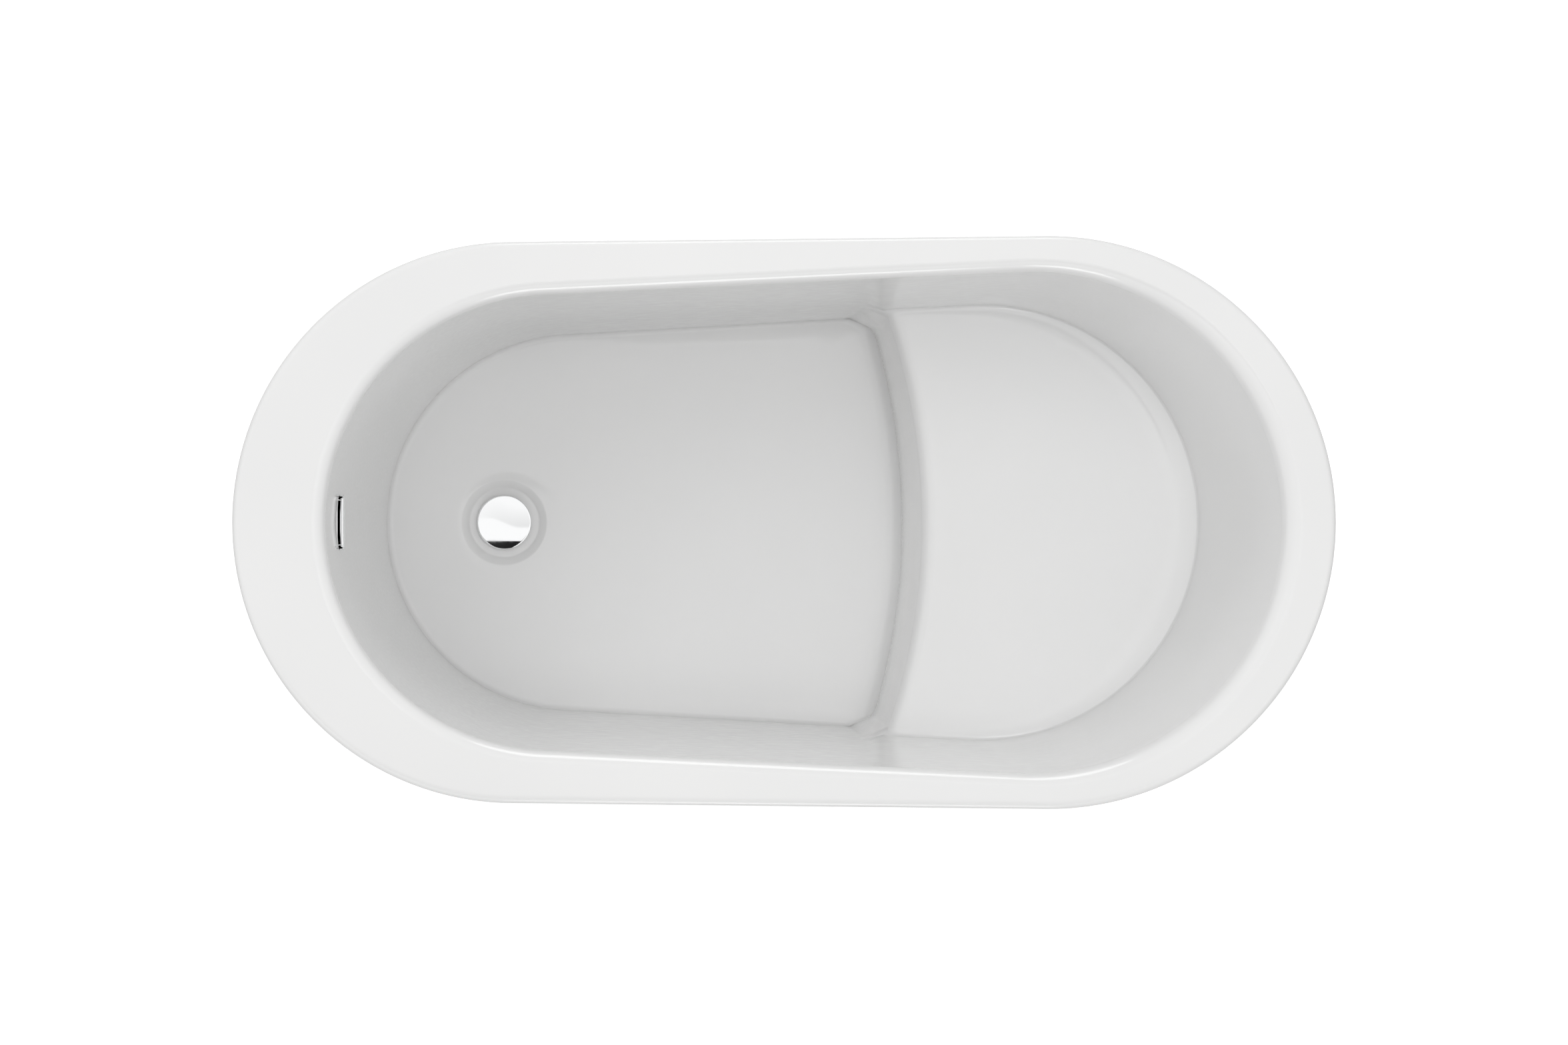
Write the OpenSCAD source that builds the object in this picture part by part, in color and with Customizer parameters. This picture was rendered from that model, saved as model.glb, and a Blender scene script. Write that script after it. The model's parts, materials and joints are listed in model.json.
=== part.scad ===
// Free-standing oval soaking tub with a moulded-in seat.
// Millimetres. X runs along the tub towards the seat end, Z is up, and the origin
// is on the room floor under the middle of the rim.

/* [Rim] */
// Length over the rim
tub_length = 1400; // [1360:5:1440]
// Width over the rim at the seat end
tub_width = 727; // [715:1:740]
// Width over the rim at the drain end
drain_end_width = 712; // [700:1:720]
// Height of the rim above the room floor
tub_height = 660; // [655:1:680]
// Width of the flat rim at the drain end
rim_drain_end = 116; // [110:1:122]
// Width of the rim beside the well, at the drain end's half circle
rim_side_drain = 65.5; // [61:0.5:69]
// Width of the rim at the sides, at the seat end's half circle
rim_side_seat = 43.5; // [40:0.5:47]
// Width of the rim at the seat end, down to the backrest's line
rim_seat_end = 62; // [57:1:67]
// Radius of the rim's outer edge
rim_edge_r = 6.5; // [6.5:0.5:10]
// Height of the turned-down flange under the rim's outer edge
rim_flange_h = 30; // [24:1:40]
// Radius of the lip between the rim and the well
lip_r = 15.5; // [13:0.5:17]
// Radius of the rolled lip over the backrest
seat_lip_r = 20; // [18:1:23]

/* [Basin] */
// Thickness of the moulded wall
shell_t = 6; // [5:0.25:6.25]
// Height of the well's floor above the room floor
floor_height = 125; // [122:1:135]
// Height of the seat above the room floor
seat_height = 320; // [305:1:335]
// Slope of the long side walls, in degrees
side_draft = 3.5; // [3.2:0.1:3.8]
// Slope of the drain end wall, in degrees
drain_end_draft = 4.2; // [3.8:0.1:4.6]
// Slope of the backrest, in degrees
backrest_draft = 12.7; // [12.2:0.1:13.2]
// Distance of the seat's front edge from the tub's seat end, at the middle
seat_length = 511; // [504:1:517]
// Radius of the seat's front edge, seen from above
seat_front_r = 840; // [800:10:900]
// How far the seat's front wall comes forward from its foot to its top
seat_front_lean = 28; // [24:1:32]
// Radius of the seat's front wall at the floor
seat_foot_r = 940; // [880:10:1040]
// Radius between the floor and the walls of the well
floor_fillet_r = 8; // [7:1:11]
// Radius at the foot and in the corners of the seat's front wall
front_fillet_r = 22; // [18:1:26]
// Radius between the seat and the walls
seat_fillet_r = 8; // [7:1:11]
// Radius of the seat's front edge, seen from the side
seat_edge_r = 15; // [13:1:18]
// How far the walls beside the seat stand inside the walls of the well
seat_step = 9; // [7:0.5:10]
// How far in front of the seat that step in the side walls starts
seat_step_lead = 92; // [86:1:98]
// Length over which the step comes in
seat_step_run = 26; // [22:1:32]

/* [Skirt] */
// Thickness of the outer skirt
skirt_t = 5; // [4:0.5:6]
// Inward slope of the skirt, in degrees
skirt_draft = 5.1; // [4.5:0.1:5.6]
// Gap between the skirt and the room floor
skirt_gap = 8; // [6:1:12]
// Shadow gap between the rim's flange and the skirt
seam_gap = 2; // [1:0.5:3]

/* [Boards and frame] */
// Thickness of the board bonded under the well
base_board_t = 15; // [12:1:16]
// Thickness of the board bonded under the seat
seat_board_t = 12; // [10:1:15]
// Outside size of the square tube
rail_size = 30; // [30:1:32]
// Wall of the square tube
rail_wall = 2; // [1.5:0.25:2.5]
// Distance of each rail's middle from the rim's edge at the tub's widest
rail_side_inset = 193.5; // [185:0.5:200]
// Distance of the rails' drain ends from the tub's drain end
rail_drain_inset = 230; // [222:1:232]
// Distance of the rails' seat ends from the tub's seat end
rail_seat_inset = 180; // [172:1:184]
// Outside size of the seat posts
post_size = 25; // [20:1:28]
// Diameter of the wood screws
screw_d = 5; // [4:0.5:6]

/* [Levelling feet] */
// Diameter of the foot's thread
foot_thread_d = 12; // [10:1:14]
// Diameter of the foot's pad
foot_pad_d = 50; // [44:1:56]
// Height of the foot's pad
foot_pad_h = 14; // [12:1:16]
// Height of the weld nuts and lock nuts
nut_h = 9; // [8:0.5:10]
// How far a foot can be screwed in
foot_travel_in = 10; // [8:1:11]
// How far a foot can be screwed out
foot_travel_out = 15; // [10:1:15]

/* [Waste] */
// Distance of the drain's middle from the tub's drain end
drain_inset = 315; // [311:1:319]
// Diameter of the round recess in the floor, at the top
recess_d = 118; // [113:1:123]
// Diameter of the recess's flat bottom
recess_flat_d = 95; // [91:1:99]
// Depth of the recess
recess_depth = 8; // [7:0.25:8.5]
// Diameter of the plug's cap
plug_d = 75; // [70:1:80]
// Height of the plug's cap
plug_h = 5; // [4:0.5:6]
// Lift of the plug when it is open
plug_lift = 10; // [6:1:10]
// Diameter of the flange under the cap
flange_d = 70; // [66:1:72]
// Thickness of that flange
flange_t = 2.5; // [2:0.25:3]
// Outside diameter of the threaded neck
neck_d = 45; // [44:0.5:46]
// Wall of the threaded neck
neck_wall = 3.5; // [3:0.25:4]
// Thickness of the sealing washers
gasket_t = 3; // [2.5:0.25:3.5]
// Outside diameter of the outlet pipe
outlet_d = 40; // [39:0.25:41]
// Height of the outlet's end above the room floor
outlet_gap = 8; // [6:1:10]

/* [Overflow] */
// Depth of the overflow's middle below the rim
overflow_depth = 115; // [107:1:125]
// Length of the overflow's trim
overflow_l = 71.6; // [70.4:0.4:76]
// Height of the overflow's trim
overflow_h = 14; // [12:0.5:16]
// How far the trim stands out of the wall
overflow_out = 8; // [7.5:0.25:9]
// Width of the slot in the trim's top
overflow_slot_w = 5; // [4:0.25:5.5]
// Length of that slot
overflow_slot_l = 57; // [50:1:57]
// Outside diameter of the overflow hose
hose_d = 27; // [25:0.5:28]

/* [Hidden] */
FEET = ["drain_left", "drain_right", "seat_left", "seat_right"];
$fn = 64;

// Clearances
slip = 0.05;        // thread or stem that turns or slides in its hole
loose = 0.5;        // bolt in a plain hole
gap = 0.2;          // piece that only sits beside another
bond = 0.1;         // line of glue or sealant
eps = 0.01;

// Heights
floor_z = floor_height;
seat_z = seat_height;
well_depth = tub_height - floor_z;
seat_depth = tub_height - seat_z;
recess_z = floor_z - recess_depth;
base_board_z = floor_z - shell_t - bond - base_board_t;
rail_z = base_board_z - rail_size;
seat_board_z = seat_z - shell_t - bond - seat_board_t;

// Places along the tub and beside its middle line
drain_x = -tub_length / 2 + drain_inset;
seat_front_x = tub_length / 2 - seat_length;
seat_foot_x = seat_front_x - seat_front_lean;
seat_step_x = seat_front_x - seat_step_lead;
rail_drain_x = -tub_length / 2 + rail_drain_inset;
rail_seat_x = tub_length / 2 - rail_seat_inset;
rail_y = tub_width / 2 - rail_side_inset;

// Half circles of the rim's outline, and where the lip's line runs
rim_r_drain = drain_end_width / 2;
rim_r_seat = tub_width / 2;
rim_x_drain = -tub_length / 2 + rim_r_drain;
rim_x_seat = tub_length / 2 - rim_r_seat;
lip_r_drain = rim_r_drain - rim_side_drain;
lip_r_seat = rim_r_seat - rim_side_seat;

// Place of each foot, post and bracket: [x side, y side]
function corner(i) = [i < 2 ? -1 : 1, i % 2 == 0 ? 1 : -1];
foot_inset = 30;
function foot_x(i) = corner(i)[0] < 0 ? rail_drain_x + foot_inset : rail_seat_x - foot_inset;
function foot_y(i) = corner(i)[1] * rail_y;
post_step = 61;         // front posts behind the seat's front edge
post_spacing = 150;     // back posts behind the front posts
function post_x(i) = seat_front_x + post_step + (corner(i)[0] < 0 ? 0 : post_spacing);

// ---------------------------------------------------------------------------
// Outlines: two half circles joined by their tangents, [x1, r1, x2, r2]
// ---------------------------------------------------------------------------
function clamp01(t) = min(1, max(0, t));
function smooth(t) = let (c = clamp01(t)) c * c * (3 - 2 * c);
function lerp(a, b, t) = a + (b - a) * t;

function rim_outline(inset) = [rim_x_drain, rim_r_drain - inset, rim_x_seat, rim_r_seat - inset];
function wall_outline(depth) =
    let (r1 = lip_r_drain - depth * tan(side_draft),
         r2 = lip_r_seat - depth * tan(side_draft))
    [-tub_length / 2 + rim_drain_end + depth * tan(drain_end_draft) + r1, r1,
     tub_length / 2 - rim_seat_end - depth * tan(backrest_draft) - r2, r2];

// A column of the loft is [stretch, t, w]: the drain end's arc (stretch 0), the straight
// side (1) or the seat end's arc (2), t along it, and w along the seat's front edge.
arc_steps = 9;
side_steps = 5;
seat_side_steps = 3;
seat_corner_t = 0.77;
seat_columns = seat_side_steps + arc_steps + 1;
COLUMNS = concat(
    [for (k = [0:arc_steps]) [0, k / arc_steps, -1]],
    [for (k = [1:side_steps]) [1, k / side_steps * (seat_corner_t - 0.03), -1]],
    [for (k = [0:seat_side_steps - 1])
        [1, lerp(seat_corner_t + 0.03, 1, k / seat_side_steps), (k + 1) / seat_columns]],
    [for (k = [0:arc_steps]) [2, k / arc_steps, (seat_side_steps + k + 1) / seat_columns]]);
half = len(COLUMNS);
around = 2 * half - 2;

// Point of an outline on a column, on the side where y is positive
function on_outline(o, c) =
    let (a = acos((o[1] - o[3]) / (o[2] - o[0])))
    c[0] == 0 ? let (t = lerp(180, a, c[1])) [o[0] + o[1] * cos(t), o[1] * sin(t)]
    : c[0] == 2 ? let (t = lerp(a, 0, c[1])) [o[2] + o[3] * cos(t), o[3] * sin(t)]
    : [lerp(o[0] + o[1] * cos(a), o[2] + o[3] * cos(a), c[1]), lerp(o[1], o[3], c[1]) * sin(a)];

// Signed distance to an outline, positive outside it
function outline_distance(x, y, o) =
    let (h = o[2] - o[0], b = (o[1] - o[3]) / h, a = sqrt(1 - b * b),
         v = abs(y), w = x - o[0], k = a * w - b * v)
    k < 0 ? norm([v, w]) - o[1] : k > a * h ? norm([v, w - h]) - o[3] : a * v + b * w - o[1];

// ---------------------------------------------------------------------------
// The basin's inside as one distance function: positive in the open, zero on the surface
// ---------------------------------------------------------------------------
function fillet(a, b, r) = max(r, min(a, b)) - norm([max(r - a, 0), max(r - b, 0)]);
function rounded(a, b, r) = min(-r, max(a, b)) + norm([max(r + a, 0), max(r + b, 0)]);

function side_step(x, depth) =
    seat_step * clamp01(depth / seat_depth) * pow(clamp01((x - seat_step_x) / seat_step_run), 2);
function wall_distance(p) =
    let (depth = tub_height - p[2])
    -outline_distance(p[0], p[1], wall_outline(depth)) * cos(side_draft) - side_step(p[0], depth);
// The lip keeps its radius round the well and grows steadily round the seat end
lip_blend = 0.12;
function lip_radius(x) =
    let (x0 = wall_outline(0)[2], t = max(0, (x - x0) / (tub_length / 2 - rim_seat_end - x0)))
    lerp(lip_r, seat_lip_r, t * t / (t + lip_blend) * (1 + lip_blend));
function floor_distance(p) =
    let (r = norm([p[0] - drain_x, p[1]]))
    p[2] - floor_z + recess_depth * clamp01((recess_d / 2 - r) / (recess_d - recess_flat_d) * 2);

// The seat's front wall is an arc that comes forward more and more towards its top:
// [x of its middle, its radius] at a depth
function seat_front(depth) =
    let (t = (depth - seat_depth) / (well_depth - seat_depth))
    [lerp(seat_front_x, seat_foot_x, t * (2 - t)), lerp(seat_front_r, seat_foot_r, t)];
front_draft = atan((seat_front_x - seat_foot_x) / (well_depth - seat_depth));
function front_distance(p) =
    let (f = seat_front(tub_height - p[2]))
    (f[1] - norm([p[0] - f[0] + f[1], p[1]])) * cos(front_draft);
function front_point(y, depth) =
    let (f = seat_front(depth)) [f[0] - f[1] + sqrt(f[1] * f[1] - y * y), y];

// Fillet of the front wall: wide up to a little below the seat, then as narrow as the seat's
fade_height = 50;
fade_end = 20;
function front_fillet(z) =
    lerp(front_fillet_r, seat_fillet_r, smooth((z - seat_z + fade_end) / fade_height + 1));

function basin_distance(p) =
    let (rim = rounded(wall_distance(p), p[2] - tub_height, lip_radius(p[0])),
         well = fillet(rim, floor_distance(p), floor_fillet_r),
         seat = rounded(front_distance(p), p[2] - seat_z, seat_edge_r))
    fillet(well, seat, front_fillet(p[2]));

function slope(p) =
    let (e = 0.05, d = [for (a = [[e, 0, 0], [0, e, 0], [0, 0, e]])
        (basin_distance(p + a) - basin_distance(p - a)) / (2 * e)]) d;
function settle(p, n) =
    n == 0 ? p : let (g = slope(p)) settle(p - g * (basin_distance(p) / (g * g)), n - 1);

// First guess of the surface along a column, from the lip down to the drain
function wall_point(c, depth) = let (q = on_outline(wall_outline(depth), c)) [q[0], q[1], tub_height - depth];
function outward(c, depth, d) =
    let (o = wall_outline(depth), q = on_outline([o[0], o[1] + d, o[2], o[3] + d], c))
    [q[0], q[1], tub_height - depth];
function between(p, q, d) = p + (q - p) * (d / norm(q - p));

lip_rings = [1.05, 0.45];
lip_drops = [0.45, 1.05];
seat_rings = 12;
function column_guess(c) =
    let (rl = lip_radius(wall_point(c, 0)[0]),
         seat = c[2] >= 0,
         crease = wall_point(c, seat_depth),
         half_front = wall_point([1, seat_corner_t, -1], seat_depth)[1] - seat_step,
         half_foot = wall_point([1, seat_corner_t, -1], well_depth)[1],
         edge = concat(front_point(half_front * (1 - c[2]), seat_depth), [seat_z]),
         foot = seat ? concat(front_point(half_foot * (1 - c[2]), well_depth), [floor_z])
             : wall_point(c, well_depth),
         rf = seat ? front_fillet_r : floor_fillet_r,
         reach = norm(edge - crease),
         rs = min(seat_fillet_r, reach * 0.3),
         re = min(seat_edge_r, reach * 0.3),
         above = wall_point(c, seat_depth - seat_fillet_r * 1.1),
         below = between(edge, foot, seat_edge_r * 1.1),
         // rings of a column that passes over the seat, cutting the corner where the seat is narrow
         path = [above,
             wall_point(c, seat_depth - seat_fillet_r * 0.4),
             between(crease, edge, rs * 0.4),
             between(crease, edge, rs * 1.05),
             lerp(between(crease, edge, rs), between(edge, crease, re), 0.33),
             lerp(between(crease, edge, rs), between(edge, crease, re), 0.67),
             between(edge, crease, re * 1.05),
             between(edge, crease, re * 0.4),
             between(edge, foot, seat_edge_r * 0.4),
             below],
         wide = smooth((reach - 20) / 100),
         over = concat([wall_point(c, seat_depth * 0.5)],
             [for (k = [0:9]) lerp(lerp(above, below, k / 9), path[k], wide)],
             [lerp(edge, foot, 0.55)]),
         // rings of a column that runs straight down, gathered at seat level near the seat
         near = c[0] == 1 ? smooth(c[1] / seat_corner_t * 1.5 - 0.5) : 0,
         even = [for (k = [0:seat_rings - 1]) lerp(0.2, 0.85, k / (seat_rings - 1)) * well_depth],
         level = [for (k = [0:seat_rings - 1]) k == 0 ? seat_depth * 0.5
             : k == seat_rings - 1 ? lerp(seat_depth, well_depth, 0.55)
             : seat_depth + (k - 5.5) * 8],
         down = [for (k = [0:seat_rings - 1]) wall_point(c, lerp(even[k], level[k], near))],
         drain = function (r) let (q = foot - [drain_x, 0, floor_z])
             [drain_x, 0, floor_z] + q * (r / norm(q)))
    concat(
        [for (t = lip_rings) outward(c, 0, t * rl)],
        [for (t = lip_drops) wall_point(c, t * rl)],
        seat ? over : down,
        [between(foot, seat ? edge : wall_point(c, 0), rf * 1.1),
         between(foot, seat ? edge : wall_point(c, 0), rf * 0.4),
         between(foot, drain(0), rf * 0.4),
         between(foot, drain(0), rf * 1.1),
         lerp(between(foot, drain(0), rf), drain(recess_d / 2 + 3), 0.5),
         drain(recess_d / 2 + 1),
         drain((recess_d + recess_flat_d) / 4) - [0, 0, recess_depth / 2],
         drain(recess_flat_d / 2 - 1) - [0, 0, recess_depth],
         drain(neck_d / 2 - 1) - [0, 0, recess_depth]]);

// Rim's outer edge along a column, as [point, outward normal] pairs
function edge_pair(c, inset, drop, tilt) =
    let (q = on_outline(rim_outline(inset), c), q0 = on_outline(rim_outline(0), c),
         q1 = on_outline(rim_outline(10), c), n = (q0 - q1) / norm(q0 - q1))
    [[q[0], q[1], tub_height - drop], [n[0] * cos(tilt), n[1] * cos(tilt), sin(tilt)]];
function column_pairs(c) = concat(
    [edge_pair(c, 0, rim_flange_h, 0), edge_pair(c, 0, rim_edge_r, 0),
     edge_pair(c, rim_edge_r * (1 - cos(45)), rim_edge_r * (1 - sin(45)), 45),
     edge_pair(c, rim_edge_r, 0, 90)],
    [for (g = column_guess(c)) let (p = settle(g, 4), n = slope(p)) [p, n / norm(n)]]);

// Closed loft: rings is a list of columns for y >= 0, each a closed loop of points
module closed_loft(cols) {
    n = len(cols[0]);
    all = concat(cols, [for (i = [half - 2:-1:1]) [for (p = cols[i]) [p[0], -p[1], p[2]]]]);
    faces = [for (i = [0:around - 1], j = [0:n - 1], k = [0, 1])
        let (i2 = (i + 1) % around, j2 = (j + 1) % n)
        k == 0 ? [i * n + j, i2 * n + j2, i * n + j2] : [i * n + j, i2 * n + j, i2 * n + j2]];
    polyhedron([for (c = all, p = c) p], faces);
}

// ---------------------------------------------------------------------------
// Basin, skirt and boards
// ---------------------------------------------------------------------------
overflow_z = tub_height - overflow_depth;
overflow_x = wall_outline(overflow_depth)[0] - wall_outline(overflow_depth)[1];
module at_overflow() {
    translate([overflow_x, 0, overflow_z]) rotate([0, -drain_end_draft, 0]) children();
}
// Bar with round ends along Y, from x1 to x2
module stadium(length, height, x1, x2) {
    translate([x1, 0, 0]) rotate([0, 90, 0]) linear_extrude(x2 - x1) union() {
        square([height, length - height], center = true);
        for (s = [-1, 1]) translate([0, s * (length - height) / 2]) circle(d = height);
    }
}

module basin() color("white") difference() {
    closed_loft([for (c = COLUMNS) let (pairs = column_pairs(c), n = len(pairs)) concat(
        [for (q = pairs) q[0]],
        [for (k = [n - 1:-1:0]) pairs[k][0] - pairs[k][1] * shell_t])]);
    translate([drain_x, 0, recess_z - shell_t - 5]) cylinder(d = neck_d + 2 * loose, h = shell_t + 10);
    at_overflow() stadium(overflow_l + 2 * gap, overflow_h + 2 * gap, -20, 20);
}

skirt_clear = 4;        // space between the flange and the skirt's top
skirt_top_inset = shell_t + skirt_clear;
skirt_step_drop = rim_flange_h + seam_gap;
function skirt_inset(drop) = drop * tan(skirt_draft);
module skirt() color("white") {
    bottom_drop = tub_height - skirt_gap;
    inner_step = skirt_step_drop + skirt_top_inset;
    profile = [[skirt_inset(bottom_drop), bottom_drop],
        [skirt_inset(skirt_step_drop), skirt_step_drop],
        [skirt_top_inset, skirt_step_drop], [skirt_top_inset, shell_t + bond],
        [skirt_top_inset + skirt_t, shell_t + bond], [skirt_top_inset + skirt_t, inner_step],
        [skirt_inset(inner_step + skirt_top_inset) + skirt_t, inner_step + skirt_top_inset],
        [skirt_inset(bottom_drop) + skirt_t, bottom_drop]];
    closed_loft([for (c = COLUMNS) [for (q = profile)
        let (p = on_outline(rim_outline(q[0]), c)) [p[0], p[1], tub_height - q[1]]]]);
}

base_board_margin = 30;
base_board_end = 50;
base_board_hole_d = recess_d + 34;
board_o = wall_outline(well_depth);
base_board_r = board_o[1] - base_board_margin;
base_board_x = seat_foot_x - base_board_end;
module base_board() color("burlywood") translate([0, 0, base_board_z]) difference() {
    linear_extrude(base_board_t) union() {
        translate([board_o[0], 0]) circle(r = base_board_r, $fn = 128);
        translate([board_o[0], -base_board_r]) square([base_board_x - board_o[0], 2 * base_board_r]);
    }
    translate([drain_x, 0, -1]) cylinder(d = base_board_hole_d, h = base_board_t + 2);
    for (p = BASE_SCREWS) translate([p[0], p[1], -1]) cylinder(d = screw_d, h = screw_bite + 1);
}

seat_board_margin = 44;
seat_o = wall_outline(seat_depth);
seat_board_r = seat_o[3] - seat_board_margin;
seat_board_step = 33;
seat_board_x = seat_front_x + seat_board_step;
module seat_board() color("burlywood") translate([0, 0, seat_board_z]) difference() {
    linear_extrude(seat_board_t) intersection() {
        translate([seat_o[2], 0]) circle(r = seat_board_r, $fn = 128);
        translate([seat_board_x, -seat_board_r]) square(2 * seat_board_r);
    }
    for (p = SEAT_SCREWS) translate([p[0], p[1], -1]) cylinder(d = screw_d, h = screw_bite + 1);
}

// ---------------------------------------------------------------------------
// Frame
// ---------------------------------------------------------------------------
screw_bite = 8;
screw_head_d = 2 * screw_d;
screw_head_h = 3;
base_screw_inset = 40;  // seat end's base screws, from the board's straight end
base_screw_lead = 60;   // drain end's base screws, from the board's round end's middle
BASE_SCREWS = [for (x = [base_board_x - base_screw_inset, board_o[0] - base_screw_lead], s = [1, -1])
    [x, s * rail_y]];
plate_t = 4;
plate_rim = 7.5;
head_room = 2;
plate_w = post_size + 2 * plate_rim;
plate_screw_y = post_size / 2 + screw_head_d / 2 + head_room;
plate_l = 2 * (plate_screw_y + screw_head_d / 2 + 2 * head_room);
SEAT_SCREWS = [for (i = [0:3], s = [-1, 1])
    [post_x(i), foot_y(i) + s * plate_screw_y]];

module rail(side) color("dimgray") difference() {
    translate([rail_drain_x, side * rail_y - rail_size / 2, rail_z])
        cube([rail_seat_x - rail_drain_x, rail_size, rail_size]);
    translate([rail_drain_x - 1, side * rail_y - rail_size / 2 + rail_wall, rail_z + rail_wall])
        cube([rail_seat_x - rail_drain_x + 2, rail_size - 2 * rail_wall, rail_size - 2 * rail_wall]);
    for (i = [0:3]) if (corner(i)[1] == side) translate([foot_x(i), foot_y(i), rail_z - 1])
        cylinder(d = foot_thread_d + 2 * loose, h = rail_wall + 2);
    for (p = BASE_SCREWS) if (sign(p[1]) == side) translate([p[0], p[1], rail_z - 1])
        cylinder(d = screw_d + 2 * gap, h = rail_size + 2);
}

cross_drain_step = 80;  // first cross bar, past the drain
cross_board_inset = 20; // middle cross bar, in from the base board's end
cross_seat_inset = 60;  // last cross bar, in from the rails' ends
CROSS_X = [drain_x + cross_drain_step, base_board_x - cross_board_inset, rail_seat_x - cross_seat_inset];
module cross_bar(x) color("dimgray") difference() {
    length = 2 * rail_y - rail_size;
    translate([x - rail_size / 2, -length / 2, rail_z]) cube([rail_size, length, rail_size]);
    translate([x - rail_size / 2 + rail_wall, -length / 2 - 1, rail_z + rail_wall])
        cube([rail_size - 2 * rail_wall, length + 2, rail_size - 2 * rail_wall]);
}

module seat_post(i) color("dimgray") difference() {
    post_h = seat_board_z - plate_t - base_board_z;
    union() {
        translate([post_x(i), foot_y(i), base_board_z + post_h / 2])
            cube([post_size, post_size, post_h], center = true);
        translate([post_x(i), foot_y(i), seat_board_z - plate_t / 2])
            cube([plate_w, plate_l, plate_t], center = true);
    }
    translate([post_x(i), foot_y(i), base_board_z + post_h / 2])
        cube([post_size - 2 * rail_wall, post_size - 2 * rail_wall, post_h + 2], center = true);
    for (p = SEAT_SCREWS) translate([p[0], p[1], seat_board_z - plate_t - 1])
        cylinder(d = screw_d + 2 * gap, h = plate_t + 2);
}

module hex_nut(across, h, bore) difference() {
    cylinder(d = across / cos(30), h = h, $fn = 6);
    translate([0, 0, -1]) cylinder(d = bore, h = h + 2);
}
nut_across = foot_thread_d * 1.6;
module weld_nuts() color("silver") for (i = [0:3])
    translate([foot_x(i), foot_y(i), rail_z - nut_h])
        hex_nut(nut_across, nut_h, foot_thread_d + 2 * slip);

module screw(reach) {
    translate([0, 0, -screw_head_h]) cylinder(d = screw_head_d, h = screw_head_h);
    cylinder(d = screw_d, h = reach);
}
module base_screws() color("silver") for (p = BASE_SCREWS)
    translate([p[0], p[1], rail_z]) screw(rail_size + screw_bite);
module seat_screws() color("silver") for (p = SEAT_SCREWS)
    translate([p[0], p[1], seat_board_z - plate_t]) screw(plate_t + screw_bite);

// Flat bar from a rail out to the skirt, with a leaf that follows the skirt's slope
bracket_w = 40;
bracket_t = 4;
bracket_leaf = 45;
bracket_drain_step = 185; // drain end's brackets, past the drain
bracket_seat_step = 51;   // seat end's brackets, past the seat's front edge
function bracket_x(i) = corner(i)[0] < 0 ? drain_x + bracket_drain_step : seat_front_x + bracket_seat_step;
skirt_turn = asin((rim_r_seat - rim_r_drain) / (rim_x_seat - rim_x_drain));
// Distance from the middle line to the skirt's inner face, at a bracket's x and a height
function skirt_inner_y(x, z) =
    (rim_r_drain + (x - rim_x_drain) * sin(skirt_turn)) / cos(skirt_turn)
    - (skirt_inset(tub_height - z) + skirt_t) / cos(skirt_turn);
module at_bracket(i) {
    translate([bracket_x(i), 0, rail_z + rail_size / 2]) mirror([0, corner(i)[1] < 0 ? 1 : 0, 0]) children();
}
module skirt_bracket(i) color("dimgray") at_bracket(i) {
    y1 = rail_y + rail_size / 2;
    y2 = skirt_inner_y(bracket_x(i), rail_z + rail_size / 2);
    difference() {
        union() {
            translate([-bracket_w / 2, y1, -bracket_t / 2]) cube([bracket_w, y2 - y1 - bracket_t, bracket_t]);
            translate([-bracket_w / 2, y1, -bracket_t / 2]) cube([bracket_w, bracket_t, rail_size / 2]);
            translate([0, y2 - gap, 0]) rotate([-skirt_draft, 0, skirt_turn])
                translate([-bracket_w / 2, -bracket_t, -bracket_t / 2])
                cube([bracket_w, bracket_t, bracket_leaf]);
        }
        translate([0, y1 - 1, rail_size / 4]) rotate([-90, 0, 0]) cylinder(d = screw_d + 2 * gap, h = bracket_t + 2);
    }
}
module bracket_screws() color("silver") for (i = [0:3]) at_bracket(i)
    translate([0, rail_y + rail_size / 2 + bracket_t, rail_size / 4]) rotate([90, 0, 0])
        screw(bracket_t);

// ---------------------------------------------------------------------------
// Levelling feet
// ---------------------------------------------------------------------------
pad_top_d = foot_thread_d * 1.9;
module foot_pad(i) color("black") translate([foot_x(i), foot_y(i), 0]) {
    socket = foot_pad_h * 0.6;
    difference() {
        union() {
            cylinder(d = foot_pad_d, h = foot_pad_h * 0.35);
            translate([0, 0, foot_pad_h * 0.35]) cylinder(d1 = foot_pad_d, d2 = pad_top_d, h = foot_pad_h * 0.4);
            cylinder(d = pad_top_d, h = foot_pad_h);
        }
        translate([0, 0, foot_pad_h - socket]) cylinder(d = foot_thread_d + 2 * slip, h = socket + 1);
    }
}
// The thread still fills the weld nut when the foot is screwed all the way out
thread_spare = 1;
stud_top = rail_z + thread_spare + foot_travel_out;
collar_h = 6;
module foot_stud(i) color("silver") translate([foot_x(i), foot_y(i), 0]) {
    translate([0, 0, foot_pad_h * 0.4]) cylinder(d = foot_thread_d, h = stud_top - foot_pad_h * 0.4);
    translate([0, 0, foot_pad_h]) cylinder(d = nut_across / cos(30), h = collar_h, $fn = 6);
}
lock_nut_z = rail_z - 2 * nut_h - foot_travel_in - 2 * thread_spare;
module lock_nut(i) color("silver") translate([foot_x(i), foot_y(i), lock_nut_z])
    hex_nut(nut_across, nut_h, foot_thread_d);

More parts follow.
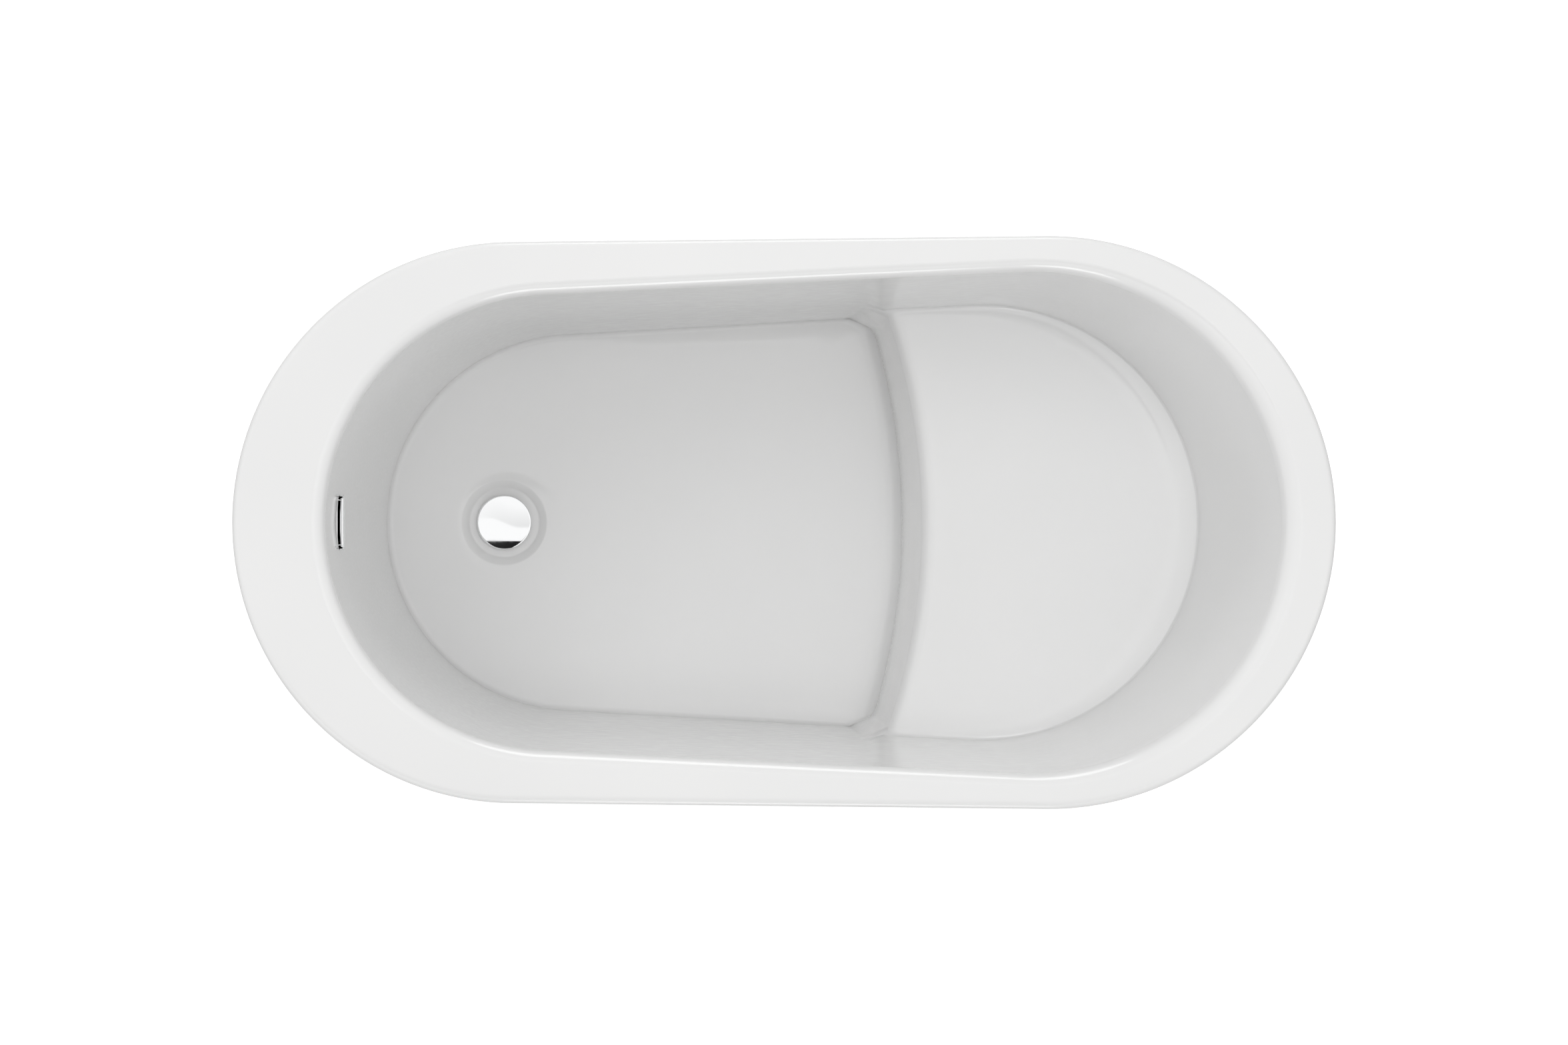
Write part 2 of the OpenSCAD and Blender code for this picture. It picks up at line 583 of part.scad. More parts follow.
// ---------------------------------------------------------------------------
// Waste: everything hangs on the axis of the drain
// ---------------------------------------------------------------------------
neck_r = neck_d / 2;
neck_bore_r = neck_r - neck_wall;
lower_washer_z = recess_z - shell_t - gasket_t;
body_flange_t = 4;
body_flange_r = neck_r + 15;
cup_r = neck_r + 5;
cup_h = 22;
cup_z = lower_washer_z - body_flange_t - cup_h;
barrel_r = 25;
barrel_h = 37.5;
barrel_z = cup_z - barrel_h;
barrel_bore_r = 19;
thread_h = 14;
thread_z = barrel_z - thread_h;
thread_step = 2;        // thread inside the barrel's own radius
tail_r = 19;
tail_wall = 2;
tee_z = barrel_z + barrel_h / 2;
cup_floor_t = 2;
neck_z = cup_z + cup_floor_t + 1;
hub_r = 9;
hub_drop = 18;
hub_z = recess_z - hub_drop;
hub_h = 6;
stem_d = 8;
flange_z = recess_z + gasket_t / 2;
upper_washer_t = gasket_t / 2;
module at_drain(z) { translate([drain_x, 0, z]) children(); }
module ring(r1, r2, h) difference() {
    cylinder(r = r2, h = h);
    translate([0, 0, -1]) cylinder(r = r1, h = h + 2);
}

module waste_flange() color("silver") at_drain(0) {
    translate([0, 0, flange_z]) ring(neck_bore_r, flange_d / 2, flange_t);
    translate([0, 0, neck_z]) ring(neck_bore_r, neck_r, flange_z - neck_z + eps);
    difference() {
        translate([0, 0, hub_z]) union() {
            cylinder(r = hub_r, h = hub_h);
            for (a = [0, 120, 240]) rotate([0, 0, a]) translate([0, -1.5, 0])
                cube([neck_bore_r + neck_wall / 2, 3, hub_h]);
        }
        translate([0, 0, hub_z - 1]) cylinder(d = stem_d + 4, h = hub_h + 2);
    }
}
module upper_washer() color("dimgray") at_drain(recess_z)
    ring(neck_r + gap, flange_d / 2 - 1, upper_washer_t);
module lower_washer() color("black") at_drain(lower_washer_z)
    ring(neck_r + gap, body_flange_r, gasket_t);

// Body under the floor: a cup on the neck's thread, a barrel with the overflow's inlet, and an outlet
inlet_r = hose_d / 2;
inlet_bore_r = inlet_r - 3;
inlet_l = 14;
module waste_body() color("white") difference() {
    at_drain(0) {
        translate([0, 0, lower_washer_z - body_flange_t]) cylinder(r = body_flange_r, h = body_flange_t);
        translate([0, 0, cup_z]) cylinder(r = cup_r, h = cup_h + eps);
        translate([0, 0, barrel_z]) cylinder(r = barrel_r, h = barrel_h + eps);
        translate([0, 0, thread_z]) cylinder(r = barrel_r - thread_step, h = thread_h + eps);
        translate([0, 0, tee_z]) rotate([0, -90, 0]) cylinder(r = inlet_r, h = barrel_r + inlet_l);
    }
    at_drain(0) {
        translate([0, 0, cup_z + cup_floor_t]) cylinder(r = neck_r, h = cup_h + body_flange_t);
        translate([0, 0, barrel_z + 5]) cylinder(r = barrel_bore_r, h = barrel_h + cup_h);
        translate([0, 0, thread_z - 1]) cylinder(r = tail_r + gap, h = thread_h + 7);
        translate([0, 0, tee_z]) rotate([0, -90, 0]) cylinder(r = inlet_bore_r, h = barrel_r + inlet_l + 1);
    }
}

// Fixed sleeve that the plug's stem clicks in
cartridge_r = (stem_d + 4) / 2;
sleeve_top = flange_z + flange_t - 6;
module cartridge() color("silver") at_drain(0) difference() {
    union() {
        translate([0, 0, hub_z]) cylinder(r = cartridge_r, h = sleeve_top - hub_z);
        translate([0, 0, hub_z + hub_h]) cylinder(d = (cartridge_r + 2) * 2 / cos(30), h = 3, $fn = 6);
    }
    translate([0, 0, hub_z - 1]) cylinder(d = stem_d + 2 * slip, h = sleeve_top - hub_z + 2);
}

// The stem keeps this length in the sleeve when the plug is up
stem_guide = 10;
stem_z = sleeve_top - plug_lift - stem_guide;

seal_h = 2.5;
cap_z = flange_z + flange_t + seal_h;
module plug_cap() color("silver") at_drain(cap_z) difference() {
    rotate_extrude($fn = 128) polygon(concat([[0, 0], [plug_d / 2 - 1, 0], [plug_d / 2, 1]],
        [for (a = [0:15:90]) [plug_d / 2 - 1.5 + 1.5 * cos(a), plug_h - 2.5 + 1.5 * sin(a)]],
        [for (t = [0.75, 0.5, 0.25, 0]) [t * plug_d / 2, plug_h - 1 + (1 - t * t)]]));
    translate([0, 0, -1]) cylinder(d = stem_d, h = 3);
}
module plug_stem() color("silver") at_drain(0) {
    difference() {
        translate([0, 0, stem_z]) cylinder(d = stem_d, h = cap_z + 2 - stem_z);
        translate([0, 0, stem_z - 1]) cylinder(d = 2, h = 6);
    }
}
seal_r = neck_bore_r + 3;
module plug_seal() color("black") at_drain(cap_z - seal_h) ring(seal_r, seal_r + 5, seal_h);

pipe_z = outlet_gap;
pipe_neck_h = 10;       // thinner length under the nut
pipe_h = thread_z - pipe_neck_h - outlet_gap;
tail_top = thread_z + thread_h + 4;
module tailpiece() color("white") at_drain(0) difference() {
    union() {
        translate([0, 0, pipe_z]) cylinder(d = outlet_d, h = pipe_h);
        translate([0, 0, pipe_z + pipe_h - eps]) cylinder(r = tail_r, h = tail_top - pipe_z - pipe_h + eps);
    }
    translate([0, 0, pipe_z - 1]) cylinder(r = tail_r - tail_wall, h = tail_top - pipe_z + 2);
}
slip_washer_h = 3;
module slip_washer() color("black") at_drain(thread_z - slip_washer_h)
    ring(tail_r, barrel_r - thread_step, slip_washer_h);
slip_floor_t = 4;
slip_wall = 6;
slip_nut_z = thread_z - slip_washer_h - slip_floor_t;
module slip_nut() color("white") at_drain(slip_nut_z) difference() {
    cylinder(d = 2 * (barrel_r + slip_wall), h = thread_h + slip_floor_t, $fn = 12);
    translate([0, 0, -1]) cylinder(r = tail_r + gap, h = slip_floor_t + 2);
    translate([0, 0, slip_floor_t]) cylinder(r = barrel_r - thread_step, h = thread_h + 1);
}

// ---------------------------------------------------------------------------
// Overflow, on the drain end's wall
// ---------------------------------------------------------------------------
trim_wall = 3;
trim_back = 16;
washer_back = 12;
housing_rim = 7;
housing_l = overflow_l + 2 * housing_rim;
housing_h = overflow_h + 2 * housing_rim;
housing_d = 26;
spigot_drop = 22;       // spigot's end below the housing
cover_t = 2;
end_hole_l = 5.4;       // holes at the slot's ends, along the slot and across it
end_hole_w = 7;
end_hole_bridge = 0.8;  // metal between the slot and each hole
// Hollow chrome trim with a slot in its top, beside the wall, and a hole at each of the slot's ends
module overflow_trim() color("silver") at_overflow() difference() {
    stadium(overflow_l, overflow_h, -trim_back, overflow_out);
    stadium(overflow_l - 2 * cover_t, overflow_h - 2 * cover_t, -trim_back - 1, overflow_out - cover_t);
    translate([gap, -overflow_slot_l / 2, 0]) cube([overflow_slot_w, overflow_slot_l, overflow_h]);
    for (s = [-1, 1])
        translate([overflow_out / 2, s * (overflow_slot_l / 2 + end_hole_bridge + end_hole_l / 2), 0])
            scale([end_hole_w / end_hole_l, 1, 1]) cylinder(d = end_hole_l, h = overflow_h);
}
// Foam washer, hollowed to the round back of the wall
washer_reach = 40;      // half the height over which the wall's back is followed
module overflow_washer() color("dimgray") difference() {
    at_overflow() difference() {
        stadium(housing_l, housing_h, -washer_back, 0);
        stadium(overflow_l + 2 * gap, overflow_h + 2 * gap, -washer_back - 1, 1);
    }
    o1 = wall_outline(overflow_depth + washer_reach);
    o2 = wall_outline(overflow_depth - washer_reach);
    lean = (o2[0] - o1[0]) / washer_reach / 2;
    translate([o1[0], 0, overflow_z - washer_reach])
        multmatrix([[1, 0, lean, 0], [0, 1, 0, 0], [0, 0, 1, 0], [0, 0, 0, 1]])
        cylinder(r1 = o1[1] + shell_t + gap, r2 = o2[1] + shell_t + gap, h = 2 * washer_reach, $fn = 256);
}
hose_x = overflow_x - washer_back - housing_d / 2;
spigot_r = hose_d / 2;
spigot_bore_r = spigot_r - trim_wall;
spigot_z = overflow_z - housing_h / 2 - spigot_drop;
module overflow_body() color("white") difference() {
    union() {
        at_overflow() stadium(housing_l, housing_h, -washer_back - housing_d, -washer_back);
        translate([hose_x, 0, spigot_z]) cylinder(r = spigot_r, h = overflow_z - spigot_z);
    }
    at_overflow() stadium(overflow_l, overflow_h, -washer_back - housing_d + 3, -washer_back + 1);
    translate([hose_x, 0, spigot_z - 1]) cylinder(r = spigot_bore_r, h = overflow_z - spigot_z + 1);
}

// Hose: straight down behind the wall, one bend, then level to the body's inlet
hose_bend = 52;
hose_end_x = drain_x - barrel_r - inlet_l;
module overflow_hose() color("gainsboro") {
    translate([hose_x, 0, tee_z + hose_bend]) ring(spigot_bore_r, spigot_r, spigot_z - tee_z - hose_bend);
    translate([hose_x + hose_bend, 0, tee_z + hose_bend]) rotate([90, 0, 0]) rotate([0, 0, 180])
        rotate_extrude(angle = 90) translate([hose_bend, 0]) difference() {
            circle(r = spigot_r);
            circle(r = spigot_bore_r);
        }
    translate([hose_x + hose_bend, 0, tee_z]) rotate([0, 90, 0])
        ring(spigot_bore_r, spigot_r, hose_end_x - hose_x - hose_bend);
}
hose_nut_h = 18;
hose_nut_wall = 5;
module hose_nut() difference() {
    cylinder(r = spigot_r + hose_nut_wall, h = hose_nut_h, $fn = 12);
    translate([0, 0, -1]) cylinder(r = spigot_r + slip, h = hose_nut_h + 2);
}
module hose_nut_upper() color("white") translate([hose_x, 0, spigot_z - hose_nut_h / 2]) hose_nut();
module hose_nut_lower() color("white") translate([hose_end_x - hose_nut_h / 2, 0, tee_z])
    rotate([0, 90, 0]) hose_nut();

// ---------------------------------------------------------------------------
basin();
skirt();
base_board();
seat_board();
rail(1);  // rail_left
rail(-1);  // rail_right
cross_bar(CROSS_X[0]);  // cross_bar_drain
cross_bar(CROSS_X[1]);  // cross_bar_middle
cross_bar(CROSS_X[2]);  // cross_bar_seat
for (i = [0:3]) {
    seat_post(i);
    skirt_bracket(i);
    foot_pad(i);
    foot_stud(i);
    lock_nut(i);
}
weld_nuts();
base_screws();
seat_screws();
bracket_screws();
waste_flange();
upper_washer();
lower_washer();
waste_body();
cartridge();
plug_cap();
plug_stem();
plug_seal();
tailpiece();
slip_nut();
slip_washer();
overflow_trim();
overflow_washer();
overflow_body();
overflow_hose();
hose_nut_upper();
hose_nut_lower();
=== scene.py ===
"""Looks of the oval soaking tub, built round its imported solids. Lengths are millimetres, as
on a drawing. The camera, the lamps, the room, the finishes, the sizes handed to a node tree
and the finished meshes are in metres."""
import json
import math

import bmesh
import bpy
import numpy as np
from mathutils import Matrix, Vector


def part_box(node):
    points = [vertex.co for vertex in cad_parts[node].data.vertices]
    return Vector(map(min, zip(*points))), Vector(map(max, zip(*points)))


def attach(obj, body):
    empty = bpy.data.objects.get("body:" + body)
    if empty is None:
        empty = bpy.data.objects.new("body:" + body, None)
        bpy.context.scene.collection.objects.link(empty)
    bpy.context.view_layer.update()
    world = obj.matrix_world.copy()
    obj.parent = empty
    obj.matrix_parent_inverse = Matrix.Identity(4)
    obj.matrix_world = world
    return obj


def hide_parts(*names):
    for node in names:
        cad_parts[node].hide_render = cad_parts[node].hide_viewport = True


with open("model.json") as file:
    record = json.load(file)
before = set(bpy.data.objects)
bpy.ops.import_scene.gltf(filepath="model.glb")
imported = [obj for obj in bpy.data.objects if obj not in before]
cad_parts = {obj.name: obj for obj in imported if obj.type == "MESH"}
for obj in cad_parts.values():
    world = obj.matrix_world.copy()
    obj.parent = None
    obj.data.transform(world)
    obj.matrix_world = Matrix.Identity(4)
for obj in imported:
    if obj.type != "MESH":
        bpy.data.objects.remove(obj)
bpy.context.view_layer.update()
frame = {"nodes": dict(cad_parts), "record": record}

MM = 0.001
UP = (0.0, 0.0, 1.0)

# Sizes of the tub, the same as the solids have
TUB_LENGTH, TUB_HEIGHT = 1400.0, 660.0
RIM_X_DRAIN, RIM_R_DRAIN = -344.0, 356.0
RIM_X_SEAT, RIM_R_SEAT = 336.5, 363.5
RIM_DRAIN_END, RIM_SEAT_END = 116.0, 62.0
LIP_R_DRAIN, LIP_R_SEAT = 290.5, 320.0
RIM_EDGE_R, RIM_FLANGE_H, SKIRT_TOP_INSET = 6.5, 30.0, 10.0
LIP_R, SEAT_LIP_R, LIP_BLEND = 15.5, 20.0, 0.12
SHELL_T = 6.0
WELL_DEPTH, SEAT_DEPTH = 535.0, 340.0
SIDE_DRAFT, DRAIN_END_DRAFT, BACKREST_DRAFT = 3.5, 4.2, 12.7
SEAT_FRONT_X, SEAT_FRONT_R, SEAT_FOOT_X, SEAT_FOOT_R = 189.0, 840.0, 161.0, 940.0
FLOOR_FILLET_R, FRONT_FILLET_R, SEAT_FILLET_R, SEAT_EDGE_R = 8.0, 22.0, 8.0, 15.0
FADE_HEIGHT, FADE_END = 50.0, 20.0
SEAT_STEP, SEAT_STEP_X, SEAT_STEP_RUN = 9.0, 97.0, 26.0
SEAT_CORNER_T = 0.77  # how far along the straight side the seat's front meets it, as a share
DRAIN_X, RECESS_D, RECESS_FLAT_D, RECESS_DEPTH = -385.0, 118.0, 95.0, 8.0
NECK_D = 45.0
SKIRT_T, SKIRT_DRAFT, SKIRT_GAP, SEAM_GAP, BOND = 5.0, 5.1, 8.0, 2.0, 0.1
OVERFLOW_DEPTH, OVERFLOW_L, OVERFLOW_H, OVERFLOW_OUT = 115.0, 71.6, 14.0, 8.0
OVERFLOW_SLOT_L, OVERFLOW_SLOT_W, COVER_T = 57.0, 5.0, 2.0
END_HOLE_L, END_HOLE_W, END_HOLE_BRIDGE = 5.4, 7.0, 0.8
FLOOR_Z, SEAT_Z = TUB_HEIGHT - WELL_DEPTH, TUB_HEIGHT - SEAT_DEPTH
CAP_R, CAP_T = 37.5, 5.0
HOSE_R, HOSE_BEND_R = 13.5, 52.0
RAIL_Y, RAIL_SIZE, BRACKET_T, PLATE_T, PAD_H = 170.0, 30.0, 4.0, 4.0, 14.0
POST_X, PLATE_SCREW_Y, BRACKET_X = (250.0, 400.0), 19.5, (-200.0, 240.0)
BASE_BOARD_END_X, BASE_SCREW_INSET, BASE_SCREW_LEAD = 111.0, 40.0, 60.0


# ------------------------------------------------------------------ camera, lamps, floor
def overhead_camera():
    """The photograph's camera: straight above the tub, image up is +Y."""
    height, focal_length, sensor_width = 6.925, 113.5, 36.0
    lens = bpy.data.cameras.new("overhead_camera")
    lens.lens, lens.sensor_width, lens.sensor_fit = focal_length, sensor_width, "HORIZONTAL"
    lens.clip_start, lens.clip_end = 0.1, 60.0
    eye = bpy.data.objects.new("overhead_camera", lens)
    eye.location = (0.0, 0.0, height)
    bpy.context.scene.collection.objects.link(eye)
    bpy.context.scene.camera = eye


def soft_lamp(name, place, target, size, power, mirrored=True):
    """Round soft box of a size across and a power in watts. Where mirrored is off, polished
    faces don't show it."""
    lamp = bpy.data.lights.new(name, "AREA")
    lamp.shape, lamp.size, lamp.energy = "DISK", size, power
    holder = bpy.data.objects.new(name, lamp)
    holder.location = place
    holder.rotation_mode = "QUATERNION"
    holder.rotation_quaternion = (Vector(target) - Vector(place)).to_track_quat("-Z", "Y")
    holder.visible_glossy = mirrored
    bpy.context.scene.collection.objects.link(holder)


class Wires:
    """Shorthand for adding nodes to a shader's tree and joining them."""

    def __init__(self, tree):
        self.tree = tree
        self.tree.nodes.clear()

    def add(self, kind, inputs=None, **settings):
        n = self.tree.nodes.new(kind)
        for key, value in settings.items():
            setattr(n, key, value)
        for key, value in (inputs or {}).items():
            self.set(n.inputs[key], value)
        return n

    def set(self, socket, value):
        if isinstance(value, bpy.types.NodeSocket):
            self.tree.links.new(value, socket)
        else:
            socket.default_value = value

    def math(self, operation, *values, clamp=False):
        n = self.add("ShaderNodeMath", operation=operation, use_clamp=clamp)
        for i, value in enumerate(values):
            self.set(n.inputs[i], value)
        return n.outputs[0]

    def spread(self, value, start, end, low=0.0, high=1.0, **settings):
        """Runs from low to high while the value runs from start to end."""
        return self.add("ShaderNodeMapRange", {"Value": value, "From Min": start, "From Max": end,
                                               "To Min": low, "To Max": high}, **settings).outputs[0]

    def ramp(self, factor, stops):
        """Colour ramp through (place, colour) stops."""
        n = self.add("ShaderNodeValToRGB", {"Fac": factor})
        marks = n.color_ramp.elements
        while len(marks) < len(stops):
            marks.new(0.5)
        for mark, (place, colour) in zip(marks, stops):
            mark.position, mark.color = place, (*colour, 1.0)
        return n.outputs["Color"]


def room_light():
    """Even white room. What polished metal mirrors is its ceiling: white, with the dark bar
    and the grey folds of the studio above. Across and along are slopes: how far a ray runs
    to the side for each metre up."""
    ambient_strength, ceiling_strength, bar_darkness = 0.58, 1.04, 0.985
    bar_across, bar_along, bar_lowest = (-0.6, -0.0765), (-0.20, 0.10), 0.8
    folds_across, folds_lowest = (0.0, 0.4), 0.97
    world = bpy.data.worlds.new("white_room")
    bpy.context.scene.world = world
    world.use_nodes = True
    w = Wires(world.node_tree)
    way = w.add("ShaderNodeSeparateXYZ", {0: w.add("ShaderNodeTexCoord").outputs["Generated"]})
    up = w.math("MAXIMUM", way.outputs["Z"], 0.001)
    across = w.math("DIVIDE", way.outputs["Y"], up)
    along = w.math("DIVIDE", way.outputs["X"], up)

    def between(value, edges, soft):
        """One between the edges, zero outside, with a soft change at each edge."""
        rise = w.spread(value, edges[0] - soft, edges[0] + soft)
        fall = w.spread(value, edges[1] + soft, edges[1] - soft)
        return w.math("MULTIPLY", rise, fall)

    bar = w.math("MULTIPLY", between(across, bar_across, soft=0.0012),
                 w.math("MULTIPLY", between(along, bar_along, soft=0.01),
                        w.math("GREATER_THAN", way.outputs["Z"], bar_lowest)))
    bend = w.spread(along, -0.12, 0.01, low=0.018, high=-0.020, interpolation_type="SMOOTHSTEP")
    above = w.math("SUBTRACT", across, bend)
    deepest = w.spread(along, -0.16, 0.0, low=0.06, high=0.20)
    faded = w.spread(above, 0.0, 0.085, low=1.0, high=0.1)
    folds = w.math("MULTIPLY", w.math("MULTIPLY", between(above, folds_across, soft=0.004), faded),
                   w.math("MULTIPLY", deepest, w.math("GREATER_THAN", way.outputs["Z"], folds_lowest)))
    white = w.math("MULTIPLY", ceiling_strength, w.math("SUBTRACT", 1.0, folds))
    unbarred = w.math("SUBTRACT", 1.0, w.math("MULTIPLY", bar, bar_darkness))
    mirrored = w.math("MULTIPLY", white, unbarred)
    rays = w.add("ShaderNodeLightPath").outputs
    seen = w.math("MINIMUM", w.math("ADD", w.math("ADD", rays["Is Camera Ray"], rays["Is Glossy Ray"]),
                                    rays["Is Transmission Ray"]), 1.0)
    ambient = w.add("ShaderNodeBackground", {"Color": (1.0, 0.998, 0.994, 1.0),
                                             "Strength": ambient_strength})
    ceiling = w.add("ShaderNodeBackground", {"Color": (1.0, 1.0, 1.0, 1.0), "Strength": mirrored})
    mixed = w.add("ShaderNodeMixShader", {0: seen, 1: ambient.outputs[0], 2: ceiling.outputs[0]})
    w.add("ShaderNodeOutputWorld", {0: mixed.outputs[0]})


def room_floor():
    """White floor. Its colour for the camera is white, and the tub's soft shadow stays on it."""
    half, glow_for_camera = 9.0, 0.42
    finish = bpy.data.materials.new("white_floor")
    finish.use_nodes = True
    w = Wires(finish.node_tree)
    rays = w.add("ShaderNodeLightPath").outputs
    matt = w.add("ShaderNodeBsdfDiffuse", {"Color": (0.80, 0.80, 0.80, 1.0)})
    shine = w.math("MULTIPLY", rays["Is Camera Ray"], glow_for_camera)
    glow = w.add("ShaderNodeEmission", {"Strength": shine})
    both = w.add("ShaderNodeAddShader", {0: matt.outputs[0], 1: glow.outputs[0]})
    w.add("ShaderNodeOutputMaterial", {"Surface": both.outputs[0]})
    sheet = bpy.data.meshes.new("room_floor")
    sheet.from_pydata([(-half, -half, 0.0), (half, -half, 0.0), (half, half, 0.0), (-half, half, 0.0)],
                      [], [(0, 1, 2, 3)])
    sheet.materials.append(finish)
    slab = bpy.data.objects.new("room_floor", sheet)
    bpy.context.scene.collection.objects.link(slab)


# ------------------------------------------------------------------ finishes
def finish(name, colour, roughness, metallic=0.0, **sockets):
    """New material: its wires, its surface shader and its Object coordinates."""
    made = bpy.data.materials.new(name)
    made.use_nodes = True
    w = Wires(made.node_tree)
    skin = w.add("ShaderNodeBsdfPrincipled", {"Base Color": (*colour, 1.0), "Roughness": roughness,
                                              "Metallic": metallic})
    for key, value in sockets.items():
        skin.inputs[key.replace("_", " ")].default_value = value
    w.add("ShaderNodeOutputMaterial", {"Surface": skin.outputs[0]})
    return made, w, skin, w.add("ShaderNodeTexCoord").outputs["Object"]


def grain(w, place, scale, detail=3.0, roughness=0.55):
    """Cloudy noise, from zero to one."""
    return w.add("ShaderNodeTexNoise", {"Vector": place, "Scale": scale, "Detail": detail,
                                        "Roughness": roughness}).outputs["Fac"]


def relief(w, skin, height, strength, distance):
    """Fine bumps on the finish."""
    n = w.add("ShaderNodeBump", {"Height": height, "Strength": strength, "Distance": distance})
    w.set(skin.inputs["Normal"], n.outputs[0])


def polished_acrylic():
    """White sanitary acrylic: a polished face with a very slight wave and hair-fine rub marks."""
    made, w, skin, place = finish("polished_acrylic", (0.80, 0.80, 0.798), 0.14,
                                  IOR=1.49, Coat_Weight=0.35, Coat_Roughness=0.05)
    tone = w.ramp(grain(w, place, 3.0, detail=2.0),
                  [(0.35, (0.792, 0.793, 0.792)), (0.65, (0.808, 0.808, 0.806))])
    w.set(skin.inputs["Base Color"], tone)
    stretched = w.add("ShaderNodeMapping", {0: place, "Scale": (8.0, 60.0, 60.0)}).outputs[0]
    rub = grain(w, stretched, 5.0, detail=4.0)
    w.set(skin.inputs["Roughness"], w.spread(rub, 0.35, 0.7, low=0.11, high=0.19))
    relief(w, skin, grain(w, place, 14.0, detail=1.0), strength=0.05, distance=0.002)
    return made


def particle_board():
    """Bare particle board: pressed chips in several browns."""
    made, w, skin, place = finish("particle_board", (0.55, 0.40, 0.24), 0.82)
    chips = w.add("ShaderNodeTexVoronoi", {"Vector": place, "Scale": 190.0, "Randomness": 1.0})
    shade = w.add("ShaderNodeSeparateColor", {0: chips.outputs["Color"]})
    tone = w.ramp(shade.outputs[0], [(0.0, (0.30, 0.19, 0.09)), (0.35, (0.52, 0.37, 0.21)),
                                     (0.75, (0.64, 0.49, 0.31)), (1.0, (0.76, 0.63, 0.44))])
    w.set(skin.inputs["Base Color"], tone)
    height = w.math("ADD", chips.outputs["Distance"], grain(w, place, 420.0))
    relief(w, skin, height, strength=0.5, distance=0.0006)
    return made


def powder_coat():
    """Satin black powder coat with its fine orange-peel grain."""
    made, w, skin, place = finish("black_powder_coat", (0.028, 0.029, 0.031), 0.48,
                                  Specular_IOR_Level=0.45)
    peel = grain(w, place, 900.0, detail=2.0)
    tone = w.ramp(grain(w, place, 40.0), [(0.3, (0.024, 0.025, 0.027)), (0.7, (0.036, 0.037, 0.040))])
    w.set(skin.inputs["Base Color"], tone)
    relief(w, skin, peel, strength=0.35, distance=0.0003)
    return made


def bright_zinc():
    """Zinc plated steel: cool grey with faint bluish and straw-coloured patches."""
    made, w, skin, place = finish("bright_zinc", (0.66, 0.68, 0.70), 0.32, metallic=1.0)
    tone = w.ramp(grain(w, place, 60.0), [(0.3, (0.58, 0.61, 0.66)), (0.55, (0.70, 0.71, 0.72)),
                                          (0.75, (0.72, 0.69, 0.60))])
    w.set(skin.inputs["Base Color"], tone)
    w.set(skin.inputs["Roughness"], w.spread(grain(w, place, 220.0), 0.0, 1.0, low=0.22, high=0.42))
    return made


def polished_chrome():
    """Chrome plating with the faintest water haze."""
    made, w, skin, place = finish("polished_chrome", (0.93, 0.935, 0.94), 0.04, metallic=1.0)
    w.set(skin.inputs["Roughness"], w.spread(grain(w, place, 35.0), 0.3, 0.75, low=0.015, high=0.06))
    return made


def black_rubber():
    """Black rubber: matt, with a fine grain and slightly greyer patches."""
    made, w, skin, place = finish("black_rubber", (0.018, 0.018, 0.019), 0.66, Specular_IOR_Level=0.35)
    tone = w.ramp(grain(w, place, 90.0), [(0.3, (0.014, 0.014, 0.015)), (0.7, (0.030, 0.030, 0.031))])
    w.set(skin.inputs["Base Color"], tone)
    relief(w, skin, grain(w, place, 1500.0, detail=2.0), strength=0.4, distance=0.0002)
    return made


def grey_foam():
    """Closed-cell foam washer: small round cells on a grey ground."""
    made, w, skin, place = finish("grey_foam", (0.16, 0.16, 0.165), 0.92)
    cells = w.add("ShaderNodeTexVoronoi", {"Vector": place, "Scale": 900.0}).outputs["Distance"]
    tone = w.ramp(cells, [(0.0, (0.10, 0.10, 0.105)), (0.6, (0.20, 0.20, 0.205))])
    w.set(skin.inputs["Base Color"], tone)
    relief(w, skin, cells, strength=0.6, distance=0.0004)
    return made


def moulded_plastic(name, light, dark, roughness):
    """Moulded fitting: even colour, matt spark-eroded grain."""
    made, w, skin, place = finish(name, light, roughness)
    w.set(skin.inputs["Base Color"], w.ramp(grain(w, place, 25.0), [(0.3, dark), (0.7, light)]))
    relief(w, skin, grain(w, place, 1100.0, detail=2.0), strength=0.25, distance=0.00025)
    return made


# ------------------------------------------------------------------ making meshes
def new_object(name, mesh):
    made = bpy.data.objects.new(name, mesh)
    bpy.context.scene.collection.objects.link(made)
    return made


def from_points(name, points, faces, material, sharp=35.0):
    """Mesh piece from points in millimetres."""
    mesh = bpy.data.meshes.new(name)
    mesh.from_pydata((np.asarray(points, dtype=float) * MM).tolist(), [], [tuple(f) for f in faces])
    mesh.materials.append(material)
    return smooth_faces(new_object(name, mesh), sharp)


def smooth_faces(piece, sharp=35.0):
    """Smooth shading, with edges kept where the faces turn by more than the sharp angle."""
    piece.data.shade_smooth()
    piece.data.set_sharp_from_angle(angle=math.radians(sharp))
    return piece


def bake(piece):
    """Turns the piece's modifiers into a plain mesh."""
    done = bpy.data.meshes.new_from_object(piece.evaluated_get(bpy.context.evaluated_depsgraph_get()))
    piece.modifiers.clear()
    old, piece.data = piece.data, done
    done.name = piece.name
    bpy.data.meshes.remove(old)
    return piece


def carve(piece, *cutters):
    """Cuts the cutters' shapes out of the piece, then throws the cutters away."""
    for cutter in cutters:
        cut = piece.modifiers.new("cut", "BOOLEAN")
        cut.operation, cut.object, cut.solver = "DIFFERENCE", cutter, "EXACT"
    bake(piece)
    for cutter in cutters:
        bpy.data.objects.remove(cutter)
    return piece


